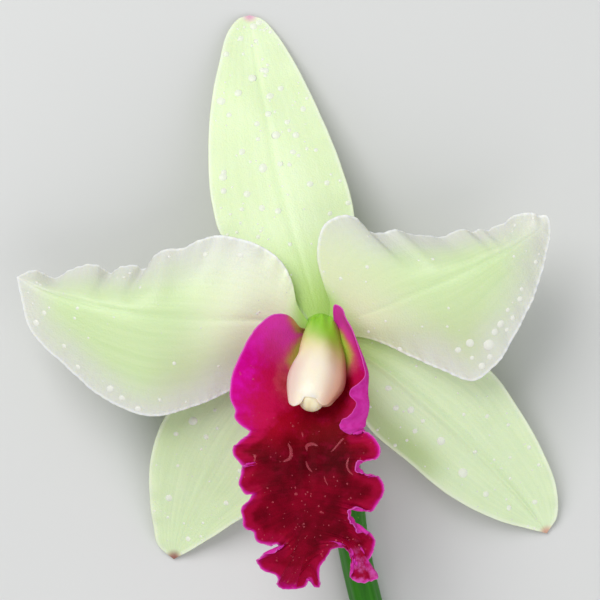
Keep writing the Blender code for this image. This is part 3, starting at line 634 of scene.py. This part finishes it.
def direction(line, share, reach):
    return unit(line.at(np.array(share + reach)) - line.at(np.array(share - reach)))


def ring_axes(along):
    """The level way across a ring that is square to the given way, and the way that it faces."""
    face = unit(np.cross(along, (1, 0, 0)))
    return np.cross(face, along), face


def rgb(red, green, blue):
    """A colour as it shows on a screen, from 0 to 255, turned into the light that it sends back."""
    shares = np.array([red, green, blue]) / 255
    light = np.where(shares > 0.04045, ((shares + 0.055) / 1.055) ** 2.4, shares / 12.92)
    return (*light.tolist(), 1.0)


class Finish:
    """A material put together from nodes, whose skin is a colour with others laid over it.

    A node's input is a number, another node's output, a screen colour, or the name of a measure
    that the mesh holds.
    """

    def __init__(self, name, skin=None, **constants):
        self.material = bpy.data.materials.new(name)
        self.material.use_nodes = True
        self.tree = self.material.node_tree
        self.shader = self.tree.nodes["Principled BSDF"]
        self.skin = skin
        for socket, value in constants.items():
            self.shader.inputs[socket.replace("_", " ")].default_value = value

    def node(self, kind, inputs, **settings):
        node = self.tree.nodes.new(kind)
        for setting, value in settings.items():
            setattr(node, setting, value)
        for socket, value in inputs.items():
            if isinstance(value, str):
                value = self.node("ShaderNodeAttribute", {}, attribute_name=value).outputs["Fac"]
            if isinstance(value, bpy.types.NodeSocket):
                self.tree.links.new(value, node.inputs[socket])
            else:
                colour = isinstance(value, tuple)
                node.inputs[socket].default_value = rgb(*value) if colour else value
        return node

    def plus(self, first, second):
        return self.node("ShaderNodeMath", {0: first, 1: second}, operation="ADD").outputs[0]

    def times(self, product, *factors):
        for factor in factors:
            inputs = {0: product, 1: factor}
            product = self.node("ShaderNodeMath", inputs, operation="MULTIPLY").outputs[0]
        return product

    def band(self, value, low, high):
        """A smooth step from 0 at low to 1 at high, or the other way round where low is larger."""
        start, end = (0, 1) if low < high else (1, 0)
        inputs = {0: value, 1: min(low, high), 2: max(low, high), 3: start, 4: end}
        return self.node("ShaderNodeMapRange", inputs, interpolation_type="SMOOTHSTEP").outputs[0]

    def noise(self, vector, scale):
        inputs = {"Vector": vector, "Scale": scale, "Detail": 3, "Roughness": 0.55}
        return self.node("ShaderNodeTexNoise", inputs).outputs["Fac"]

    def place(self):
        return self.node("ShaderNodeTexCoord", {}).outputs["Object"]

    def patches(self, scale):
        """Soft patches, smaller as the scale grows."""
        return self.noise(self.place(), scale)

    def cells(self, scale):
        inputs = {"Vector": self.place(), "Scale": scale}
        return self.node("ShaderNodeTexVoronoi", inputs).outputs["Distance"]

    def fibres(self, across, across_scale, along, along_scale):
        """Noise drawn out one way, by two measures of the mesh."""
        inputs = {0: self.times(across, across_scale), 1: self.times(along, along_scale)}
        return self.noise(self.node("ShaderNodeCombineXYZ", inputs).outputs[0], 1)

    def margin_streaks(self):
        """Noise drawn out from the margin inwards, from 0 to 1."""
        return self.band(self.fibres("run", 1, "edge", 0.12), 0.42, 0.68)

    def mix(self, share, first, second):
        """The two colours mixed, with more of the second as the share grows."""
        inputs = {0: share, 6: first, 7: second}
        return self.node("ShaderNodeMix", inputs, data_type="RGBA").outputs[2]

    def lay(self, colour, *shares):
        """Lays a colour over the skin, as strongly as the product of the shares says."""
        self.skin = self.mix(self.times(*shares), self.skin, colour)

    def done(self, grain=None, depth=0):
        """The material with its skin, and with a grain of the given depth in metres."""
        self.tree.links.new(self.skin, self.shader.inputs["Base Color"])
        if grain:
            inputs = {"Height": grain, "Distance": depth, "Strength": 1}
            facing = self.node("ShaderNodeBump", inputs).outputs["Normal"]
            self.tree.links.new(facing, self.shader.inputs["Normal"])
        return self.material


def tissue(name, skin, **constants):
    """A finish for living tissue, which light passes through a little."""
    settings = {
        "Roughness": 0.42, "Metallic": 0, "Subsurface_Weight": 0.25,
        "Subsurface_Radius": (1, 0.8, 0.4), "Subsurface_Scale": 0.0012,
    }
    return Finish(name, skin, **{**settings, **constants})


def sepal_finish(name, kind):
    finish = tissue(name, kind.body)
    finish.lay((226, 241, 192), finish.band(finish.fibres("side", 16, "along", 0.05), 0.3, 0.7), 0.45)
    finish.lay((228, 241, 208), finish.patches(90), 0.5)
    finish.lay((172, 205, 100), finish.band("along", 25, 2))
    # Painted shade: the side nearer the last line is darkened, as where the petals shade it
    painted_shade_part = finish.times(finish.band("side", 0.3, 0.8), finish.band("along", 48, 36))
    finish.lay((168, 192, 122), painted_shade_part, kind.deeper)
    finish.lay((178, 205, 118), "vein", 0.11)
    finish.lay((240, 246, 220), finish.band("edge", 1.1, 0.1), 0.6)
    finish.lay((186, 206, 122), "back", 0.55)
    finish.lay(kind.tip, finish.band("to_tip", kind.tip_reach, kind.tip_reach * 0.2))
    return finish.done(finish.cells(2600), 0.00004)


def petal_finish(name, kind):
    finish = tissue(name, (201, 222, 168))
    finish.lay((207, 226, 174), finish.band(finish.fibres("side", 20, "along", 0.04), 0.3, 0.7))
    # The base's pale cream; on the left petal it is also painted light
    finish.lay(kind.base, finish.band("along", kind.base_reach, kind.base_reach - 18), 0.8)
    # Painted shade over the petal's lower half, towards its base
    shaded_half = finish.band("side", 0.05 * kind.lower_side, 0.75 * kind.lower_side)
    finish.lay((184, 193, 148), shaded_half, finish.band("along", 38, 28), 0.6)
    wavy_edge = finish.plus("blush", finish.times(finish.patches(110), 0.45))
    finish.lay((213, 214, 204), finish.band(wavy_edge, 0.3, 1.25))
    finish.lay((184, 208, 140), "vein", 0.08)
    finish.lay((200, 190, 196), finish.margin_streaks(), finish.band(wavy_edge, 0.5, 1.2), 0.15)
    # Painted highlight: a thin white line where the margin catches the light
    finish.lay((238, 238, 234), finish.band("edge", 0.8, 0.1), "rim")
    finish.lay((176, 212, 110), finish.band("along", 9, 1.5))
    finish.lay((206, 218, 166), "back", 0.35)
    return finish.done(finish.cells(2400), 0.00004)


def lip_finish(name):
    """Crimson inside, then pink and magenta to the margins, with a greenish throat, painted light on
    the crimson of its upper part under the column, and a painted lilac-pink sheen over its top.
    """
    finish = tissue(
        name, (142, 0, 34), Roughness=0.55, Subsurface_Weight=0.1,
        Subsurface_Radius=(1, 0.2, 0.45), Specular_IOR_Level=0.04,
    )
    streaks, patches = finish.margin_streaks(), finish.patches(500)
    cloudy = finish.times(finish.band(finish.patches(120), 0.32, 0.68), -0.7)
    deep = finish.plus(finish.plus("deep", cloudy), finish.times(streaks, 0.15))
    wavering = finish.times(finish.plus(patches, -0.5), 0.5)
    blush = finish.plus("blush", wavering)
    upper = finish.band("along", 30, 21)
    magenta = finish.mix(finish.times(streaks, 0.3), (202, 2, 140), (184, 0, 96))
    magenta = finish.mix(finish.band(patches, 0.4, 0.8), magenta, (210, 16, 160))
    finish.lay((72, 0, 7), finish.band(deep, -0.5, 1))
    # Painted light: brighter crimson over the lip's upper part, against the shade under the column
    finish.lay((190, 18, 34), upper, 0.25)
    finish.lay(finish.mix(upper, (152, 5, 48), (184, 12, 72)), finish.band(blush, -0.02, 0.32))
    finish.lay(magenta, finish.band(blush, 0.4, 0.95))
    # Painted sheen: a light lilac-pink over the top of the lip
    finish.lay((234, 78, 190), finish.band("along", 13, 4), 0.66)
    finish.lay((206, 44, 166), finish.band("edge", 0.7, 0.15), 0.7)
    finish.lay((228, 140, 208), finish.band("edge", 0.22, 0.05), 0.45)
    finish.lay((220, 110, 196), finish.band(patches, 0.42, 0.66), "pale")
    throat = finish.plus("throat", finish.times(wavering, 0.5))
    finish.lay((200, 98, 94), finish.band(throat, 0.08, 0.6))
    finish.lay((170, 198, 66), finish.band(throat, 0.3, 0.8))
    blotches = finish.times(finish.band(patches, 0.35, 0.7), 0.6)
    finish.lay(finish.mix(blotches, (212, 58, 170), (190, 16, 130)), "back", 0.97)
    return finish.done(finish.cells(2200), 0.00005)


def column_finish(name):
    """Cream, with pinkish sides, a right side darkened partly by its own colour and partly by painted
    shade, and a green base.
    """
    finish = tissue(name, (246, 234, 212), Roughness=0.36, Subsurface_Weight=0.4)
    along = finish.plus("along", finish.times(finish.patches(300), 2))
    finish.lay((226, 196, 184), finish.band("side", -0.3, -0.9), finish.band(along, 12, 19))
    # The right side's brownish pink: partly the column's colour, partly painted shade
    finish.lay((200, 142, 118), finish.band("side", 0.05, 0.95))
    finish.lay((230, 220, 156), finish.band(along, 18, 8))
    # Olive-brown on the right flank: partly the column's colour, partly painted shade
    finish.lay((156, 134, 48), finish.band("side", -0.1, 0.6), finish.band(along, 19, 9), 0.95)
    slanted = finish.plus(along, finish.times("side", -2.5))
    finish.lay((138, 196, 40), finish.band(slanted, 14, 6))
    return finish.done(finish.patches(1500), 0.00005)


def cap_finish(name):
    finish = tissue(name, (244, 230, 200), Roughness=0.34, Subsurface_Weight=0.4)
    patches = finish.patches(900)
    finish.lay((238, 220, 182), patches)
    # Painted shade: the cap is a little darker along its furrow
    finish.lay((232, 212, 170), "furrow")
    return finish.done(patches, 0.00005)


def pollinia_finish(name):
    finish = tissue(name, (226, 186, 60), Roughness=0.3, Subsurface_Weight=0.3)
    patches = finish.patches(1200)
    finish.lay((240, 208, 96), patches)
    return finish.done(patches, 0.00004)


def stalk_finish(name):
    """Green fibres, paler at the top, and a pale cut end."""
    finish = tissue(
        name, (38, 112, 8), Roughness=0.34, Subsurface_Weight=0.12,
        Subsurface_Radius=(0.6, 1, 0.3), Specular_IOR_Level=0.3,
    )
    fibres = finish.fibres("turn", 9, "along", 0.06)
    finish.lay((54, 134, 16), finish.band(fibres, 0.3, 0.7))
    finish.lay((150, 190, 96), finish.band(finish.patches(700), 0.68, 0.78), 0.3)
    finish.lay((142, 196, 62), finish.band("along", 16, 5))
    pith = finish.mix(finish.band(finish.cells(1500), 0.1, 0.3), (150, 164, 96), (214, 218, 168))
    finish.lay(pith, finish.band("cut", 0.2, 0.6))
    return finish.done(fibres, 0.00012)


def water_finish(name, colour, share):
    """Beads that let some of what they lie on show through, in a pale colour that is painted light."""
    return Finish(
        name, Base_Color=rgb(*colour), Roughness=0.2, Metallic=0, IOR=1.33, Alpha=share
    ).material


def dressed(piece, node, finish):
    """Gives a finished piece its finish, hangs it from the root and hides the solid of the part that it
    stands for.
    """
    piece.data.materials.append(finish)
    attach(piece, "root")
    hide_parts(node)


def sepal(name, kind):
    """A smooth sepal with a keel behind, and a groove or a raised band along its front."""
    sheet = Sheet(kind.lines, SEPAL_GRID)
    veins = sheet.veins(SEPAL_VEINS, SEPAL_VEIN_WIDTH, kind.seed)
    midrib = peak(sheet.side, 0, 0.07) * smooth_step(0, 10, sheet.to_tip)
    sheet.raise_by(kind.ridge * midrib * smooth_step(4, 14, sheet.along) - VEIN_DEPTH * veins)
    sheet.undulate(*SEPAL_SWELL, kind.seed)
    sheet.ripple(SEPAL_RIPPLE, kind.seed)
    measures = {"vein": veins * (0.4 + 0.6 * midrib)}
    piece = blade(name + "_blade", sheet, sheet.thickness(*SEPAL_THICKNESS), measures)
    dressed(piece, name, sepal_finish(name + "_skin", kind))
    return sheet


def petal(name, kind):
    """A broad petal whose thin margins ruffle."""
    sheet = Sheet(kind.lines, PETAL_GRID)
    veins = sheet.veins(PETAL_VEINS, PETAL_VEIN_WIDTH, kind.seed)
    midrib = peak(sheet.side, 0, 0.05) * smooth_step(0, 12, sheet.to_tip)
    sheet.raise_by(PETAL_RIDGE * midrib * smooth_step(4, 14, sheet.along) - VEIN_DEPTH * veins)
    sheet.undulate(*PETAL_SWELL, kind.seed)
    for seed, ripple in enumerate(PETAL_RIPPLES, start=kind.seed):
        sheet.ripple(ripple, seed)
    blush = np.clip(1 - sheet.edge / np.where(sheet.side < 0, *kind.blush_widths), 0, 1)
    measures = {
        "vein": 0.6 * (veins + midrib),
        "blush": blush * smooth_step(6, 22, sheet.along),
        # rim: how strongly the painted highlight shows along the margin, fading towards the base
        "rim": 0.8 * smooth_step(4, 16, sheet.along),
    }
    piece = blade(name + "_blade", sheet, sheet.thickness(*PETAL_THICKNESS), measures)
    dressed(piece, name, petal_finish(name + "_skin", kind))
    return sheet


def lip():
    """The lip: flat and standing side lobes, and a middle lobe with a frilled, crinkled margin."""
    lines = (LIP_RIGHT, LIP_RIGHT_WALL, LIP_SPINE, LIP_LEFT_WALL, LIP_LEFT)
    sheet = Sheet([arched(line) for line in lines], LIP_GRID)
    side = sheet.side
    share = over_columns(sheet.shares, side.shape[1])
    middle_lobe = smooth_step(0.38, 0.48, share)
    keels = peak(np.abs(side), 0.08, 0.05) * smooth_step(0.25, 0.45, share)
    sheet.raise_by(LIP_KEEL * keels * smooth_step(0.85, 0.6, share))
    sheet.undulate(*LIP_SWELL, LIP_SEED, middle_lobe)
    frilled = np.where(side < 0, smooth_step(0.3, 0.46, share), 0.4 + 0.6 * middle_lobe)
    for seed, ripple in enumerate(FRILL_RIPPLES, start=LIP_SEED + 1):
        sheet.ripple(ripple, seed, frilled)
    tail = smooth_step(-0.5, -0.8, side) * smooth_step(0.8, 0.86, share)
    tail *= smooth_step(0.94, 0.9, share)
    sheet.ripple(TAIL_RIPPLE, LIP_SEED + 3, tail)
    thickness = LIP_THICKNESS * (0.6 + 0.4 * smooth_step(0, 1.5, sheet.edge))
    piece = blade("lip_blade", sheet, thickness, lip_measures(sheet, share, tail))
    dressed(piece, "lip", lip_finish("lip_skin"))
    return sheet


def lip_measures(sheet, share, tail):
    """Where the lip blushes towards its margins, deepens, pales and turns to its throat's colours."""
    side, along, edge = sheet.side, sheet.along, sheet.edge

    def by_side(right, left):
        return np.where(side < 0, right, left)

    past_lobe = by_side(smooth_step(0.35, 0.43, share), smooth_step(0.27, 0.47, share))
    reach = by_side(6, 15) * (1 - past_lobe) + 4.3 * past_lobe + 2 * smooth_step(0.8, 1, share)
    strongest = by_side(1.1, 0.97) * (1 - past_lobe) + by_side(0.68, 0.64) * past_lobe
    strongest += 0.06 * tail + by_side(-0.2, 0.2) * smooth_step(0.9, 0.96, share)
    start = 0.29 + 0.09 * smooth_step(0, 0.5, side)
    deep = smooth_step(start, start + 0.12, share) * (0.6 + 0.4 * smooth_step(0.7, 0.5, share))
    throat = smooth_step(14.5, 7, along) * smooth_step(0.64, 0.3, np.abs(side)) * by_side(0.9, 0.65)
    glow = 0.3 * smooth_step(22, 12, along) * smooth_step(0.1, 0.3, side)
    throat = np.maximum(throat, glow * smooth_step(0.66, 0.4, side))
    corner = 0.5 * smooth_step(6, 2.5, along) * smooth_step(0.3, 0.6, side)
    return {
        "pale": 0.5 * tail,
        "blush": np.clip(strongest - edge / reach, 0, 1),
        "deep": deep * smooth_step(0, 4.5, edge) * smooth_step(1.05, 0.9, share),
        "throat": np.maximum(throat, corner),
    }


def column_relief(side, share):
    """How far the column's front stands out, as a share of its depth.

    It has a ridge down its middle, a furrow and a raised edge at each side, a lumpy base and a
    slightly sunken end.
    """
    ridge = 0.08 * peak(side, 0, 0.35)
    furrows = -0.07 * peak(np.abs(side), 0.62, 0.18)
    edges = 0.05 * peak(np.abs(side), 0.88, 0.12)
    lumps = LUMP_HEIGHT * np.cos(LUMP_COUNT * math.pi * side) * smooth_step(0.34, 0.1, share)
    sunk = 0.16 * peak(side, 0, 0.45, 4) * smooth_step(0.84, 1, share)
    return (ridge + furrows + edges) * smooth_step(0.3, 0.65, share) + lumps - sunk


def column():
    """The column, with two wings, a hood and a notch at its end, and the pocket in it."""
    line = Curve(COLUMN_LINE)
    turns = turns_round(COLUMN_SIDES)
    side, depth = np.cos(turns), np.sin(turns)
    wings = sum(wing.reach * peak(side, wing.middle, wing.width, 4) for wing in WINGS)
    wings *= smooth_step(-1, 0, depth)
    notch = NOTCH_DEPTH * peak(side, 0, NOTCH_WIDTH, 6) * smooth_step(0, 0.6, depth)
    end_shape = wings - notch + HOOD * depth - END_SLANT * side - END_CORNERS * side ** 6
    rings = []
    for share in np.linspace(0, 1, COLUMN_RINGS + 1):
        along = direction(line, share, COLUMN_REACH) if share > 0 else np.array([0, 0, 1.0])
        across, face = ring_axes(along)
        half_width, half_depth = eased(COLUMN_HALF_WIDTHS, share), eased(COLUMN_HALF_DEPTHS, share)
        relief = np.where(depth > 0, column_relief(side, share), 0)
        rings.append(
            line.at(share)
            + np.outer(side * half_width, across)
            + np.outer((depth + relief) * half_depth, face)
            + np.outer(end_shape * smooth_step(WING_START, 1, share), along)
        )
    end, across, face, along = column_tip()
    mouth = np.outer(POCKET_WIDTH * side, across) + np.outer(POCKET_HEIGHT * depth, face)
    flat_mouth = end + mouth + np.outer(end_shape * MOUTH_SHAPE, along)
    outer = rings[-1]
    for closed, ahead in COLUMN_RIM:
        rings.append(outer + (flat_mouth - outer) * closed + along * ahead)
    rings.append(end + mouth * POCKET_DRAFT - along * POCKET_DEPTH)
    run = np.linspace(0, COLUMN_LENGTH, COLUMN_RINGS + 1).tolist()
    run += [COLUMN_LENGTH] * (len(COLUMN_RIM) + 1)
    measures = {"along": np.repeat(run, COLUMN_SIDES), "side": np.tile(side, len(rings))}
    piece = new_mesh("column_flesh", *ring_body(rings), measures)
    dressed(piece, "column", column_finish("column_skin"))


def column_tip():
    """The column's end point and the frame there: across, towards its face, and along."""
    line = Curve(COLUMN_LINE)
    along = direction(line, 1.0, 2 * COLUMN_REACH)
    across, face = ring_axes(along)
    return line.at(np.array(1.0)), across, face, along


def placed_in_pocket(points, lift):
    end, across, face, along = column_tip()
    floor = end - along * (POCKET_DEPTH - lift)
    return floor + points @ np.array([across, face, along])


def dome(radius, height):
    turns = np.linspace(0, math.pi / 2, CAP_RINGS, endpoint=False)
    return np.stack([radius * np.cos(turns), height * np.sin(turns)], axis=-1).tolist()


def anther_cap():
    """A small bowl with a furrow down its middle, over the pollinia."""
    outer = dome(CAP_RADIUS, CAP_HEIGHT)
    inner = dome(CAP_RADIUS - CAP_WALL, CAP_HEIGHT - CAP_WALL)
    profile = [(0, CAP_HEIGHT - CAP_WALL)] + inner[::-1] + outer + [(0, CAP_HEIGHT)]
    points, faces = turned(profile, CAP_SIDES)
    furrow = peak(points[:, 0], 0, FURROW_WIDTH) * smooth_step(0.6, 2.4, points[:, 2])
    points[:, 2] -= FURROW_DEPTH * furrow
    points[:, 1] *= CAP_FLATNESS
    points = placed_in_pocket(points, CAP_LIFT)
    piece = new_mesh("anther_cap_shell", points, faces, {"furrow": furrow})
    dressed(piece, "anther_cap", cap_finish("anther_cap_skin"))


def pollinia():
    """Four waxy pollen masses that meet in one lobed body."""
    turns = np.linspace(-math.pi / 2, math.pi / 2, POLLINIA_RINGS)
    profile = POLLINIA_RADIUS * np.stack([np.cos(turns), np.sin(turns)], axis=-1)
    points, faces = turned(profile.tolist(), POLLINIA_SIDES)
    swell = 0.9 + 0.2 * np.abs(np.cos(POLLINIA_MASSES / 2 * np.arctan2(points[:, 1], points[:, 0])))
    points[:, :2] *= swell[:, None]
    piece = new_mesh("pollinia_masses", placed_in_pocket(points, CAP_LIFT + POLLINIA_RADIUS), faces)
    dressed(piece, "pollinia", pollinia_finish("pollinia_wax"))


def stalk():
    """The green top that the blades leave, and the ribbed stalk down to its cut end."""
    turns = turns_round(STALK_SIDES)
    cosines, sines = np.cos(turns), np.sin(turns)
    downward = np.array([0, 0, -1.0])
    rings, run = [], []
    across, face = ring_axes(downward)
    for z, radius in STALK_TOP:
        rings.append((0, 0, z) + radius * (np.outer(cosines, across) + np.outer(sines, face)))
        run.append(-z)
    line = Curve(STALK_LINE)
    for share in np.linspace(0, 1, STALK_RINGS + 1):
        along = direction(line, share, STALK_REACH) if share > 0 else downward
        across, face = ring_axes(along)
        ribs = RIB_HEIGHT * smooth_step(0, RIB_RISE, share) * np.cos(RIB_COUNT * turns)
        radius = eased(STALK_RADII, share) * (1 + ribs)
        ring = np.outer(radius * cosines, across) + np.outer(radius * sines, face)
        rings.append(line.at(share) + ring)
        run.append(TOP_LENGTH + share * STALK_LENGTH)
    end, rim = line.at(np.array(1.0)), rings[-1]
    for scale, ahead in STALK_CUT:
        rings.append(end + (rim - end) * scale + along * ahead)
        run.append(run[-1])
    cut = [0] * (len(rings) - len(STALK_CUT) + 1) + [1] * (len(STALK_CUT) - 1)
    measures = {
        "along": np.repeat(run, STALK_SIDES),
        "turn": np.tile(np.abs(turns / math.pi - 1), len(rings)),
        "cut": np.repeat(cut, STALK_SIDES),
    }
    piece = new_mesh("stalk_skin", *ring_body(rings), measures)
    dressed(piece, "stalk", stalk_finish("stalk_skin"))


def drop_shape(radius, oval):
    """Points and faces of one bead of water that lies on a level surface."""
    height = radius * DROP_HEIGHT
    foot = -radius * DROP_SINK
    profile = [(0, foot)]
    for share in np.linspace(1, 0, DROP_RINGS).tolist():
        profile.append((radius * share, foot + (height - foot) * (1 - share ** 2)))
    points, faces = turned(profile, DROP_SIDES)
    points[:, 0] *= oval
    return points, faces


def laid_drop(place, facing, radius, rng):
    """Points and faces of a bead on a blade, a little oval and turned at random."""
    facing = facing if facing[2] > 0 else -facing
    shape, faces = drop_shape(radius, rng.uniform(*DROP_OVAL))
    across = unit(np.cross((0.3, 1, 0), facing))
    turn = rng.uniform(0, 2 * math.pi)
    first = across * math.cos(turn) + np.cross(facing, across) * math.sin(turn)
    return place + shape @ np.array([first, np.cross(facing, first), facing]), faces


def film_shape(pixels, half_width, tree):
    """Points and faces of a narrow film of water that runs through its pixels on a blade."""
    places, facings = zip(*(seen_at(x, y, tree) for x, y in pixels))
    shares = np.linspace(0, 1, FILM_RINGS)
    middle, facing = Curve(places).at(shares), unit(Curve(facings, even=True).at(shares))
    across = unit(np.cross(np.gradient(middle, axis=0), facing))
    swell = half_width * np.sqrt(np.clip(1 - (2 * shares - 1) ** 2, 0.01, 1))
    turns = turns_round(FILM_SIDES)[:, None]
    ring = np.cos(turns) * across[:, None] + FILM_HEIGHT * np.sin(turns) * facing[:, None]
    return ring_body(middle[:, None] + ring * swell[:, None, None])


def seen_at(x, y, tree):
    """The place and the facing of the blade at a pixel of the photograph, if it is there."""
    camera = Vector(CAMERA_FROM_HEART)
    step = SENSOR / PHOTO_SIDE / LENS
    ray = Vector(((x - PHOTO_SIDE / 2) * step, (PHOTO_SIDE / 2 - y) * step, -1))
    place, facing, _, _ = tree.ray_cast(camera, ray.normalized())
    return (np.array(place), np.array(facing)) if place else None


def water(name, sheet, finish, seed):
    """The beads that the photograph shows on a blade, and fine droplets strewn between them."""
    rng = np.random.default_rng(seed)
    rows, columns = sheet.points.shape[:2]
    faces = grid_faces(numbered(rows, columns)).tolist()
    tree = BVHTree.FromPolygons(sheet.points.reshape(-1, 3).tolist(), faces)
    drops = []
    for x, y, radius in BEADS[name]:
        found = seen_at(x, y, tree)
        if found:
            drops.append((*found, radius))
    count, smallest, largest = DEW[name]
    normals = sheet.normals()
    for _ in range(count):
        row = int(rng.uniform(*DEW_ROWS) * rows)
        column = int(rng.uniform(*DEW_COLUMNS) * columns)
        radius = smallest + (largest - smallest) * rng.uniform() ** 3
        if sheet.edge[row, column] > radius:
            drops.append((sheet.points[row, column], normals[row, column], radius))
    shapes = [laid_drop(*drop, rng) for drop in drops]
    if name == "lip":
        shapes += [film_shape(*film, tree) for film in FILMS]
    points, faces, total = [], [], 0
    for shape, shape_faces in shapes:
        points.append(shape)
        faces += [tuple(i + total for i in face) for face in shape_faces]
        total += len(shape)
    piece = new_mesh("water_on_" + name, np.vstack(points), faces)
    piece.data.materials.append(finish)
    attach(piece, "root")


def heart_place():
    """The heart in the frame, in millimetres, from the box of the stalk with its round seat."""
    low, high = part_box("stalk")
    return np.array([
        low.x / MM + SEAT_RADIUS,
        high.y / MM - SEAT_RADIUS * math.cos(math.pi / SEAT_SIDES),
        high.z / MM - BOSS_TOP,
    ])


def flower():
    sheets = {name: sepal(name, kind) for name, kind in SEPALS.items()}
    sheets.update({name: petal(name, kind) for name, kind in PETALS.items()})
    sheets["lip"] = lip()
    column()
    anther_cap()
    pollinia()
    stalk()
    # The near-white beads and the light pink specks and films are painted light for the light that
    # clear water gathers and reflects
    drops = water_finish("water", (255, 255, 246), 0.66)
    specks = water_finish("water_over_crimson", (236, 104, 120), 0.27)
    for seed, (name, sheet) in enumerate(sheets.items(), start=WATER_SEED):
        water(name, sheet, specks if name == "lip" else drops, seed)


def floor():
    """The plain pale surface that the flower lies on."""
    low, high = -FLOOR_REACH, FLOOR_REACH
    mesh = bpy.data.meshes.new("floor")
    corners = [(low, low, 0), (high, low, 0), (high, high, 0), (low, high, 0)]
    mesh.from_pydata(corners, [], [(0, 1, 2, 3)])
    finish = Finish("floor", (208, 208, 206), Roughness=0.8, Metallic=0)
    finish.lay((216, 216, 214), finish.patches(6))
    mesh.materials.append(finish.done())
    piece = bpy.data.objects.new("floor", mesh)
    bpy.context.scene.collection.objects.link(piece)


def soft_light(name, place, side, power):
    """A square studio light that faces the flower."""
    data = bpy.data.lights.new(name, "AREA")
    data.shape = "SQUARE"
    data.size = side
    data.energy = power
    light = bpy.data.objects.new(name, data)
    light.location = place
    towards = Vector(HEART * MM) - Vector(place)
    light.rotation_euler = towards.to_track_quat("-Z", "Y").to_euler()
    bpy.context.scene.collection.objects.link(light)


def studio():
    for light in LIGHTS:
        soft_light(*light)
    world = bpy.data.worlds.new("studio")
    world.use_nodes = True
    sky = world.node_tree.nodes["Background"].inputs
    sky["Color"].default_value = rgb(*SKY_COLOUR)
    sky["Strength"].default_value = SKY_STRENGTH
    bpy.context.scene.world = world
    bpy.context.scene.view_settings.view_transform = "Standard"


def camera():
    """The photograph's view: straight down on the open flower."""
    data = bpy.data.cameras.new("camera")
    data.sensor_width = SENSOR
    data.lens = LENS
    data.clip_start = 0.01
    view = bpy.data.objects.new("camera", data)
    view.location = Vector((HEART + CAMERA_FROM_HEART) * MM)
    bpy.context.scene.collection.objects.link(view)
    bpy.context.scene.camera = view


HEART = heart_place()
camera()
studio()
floor()
flower()
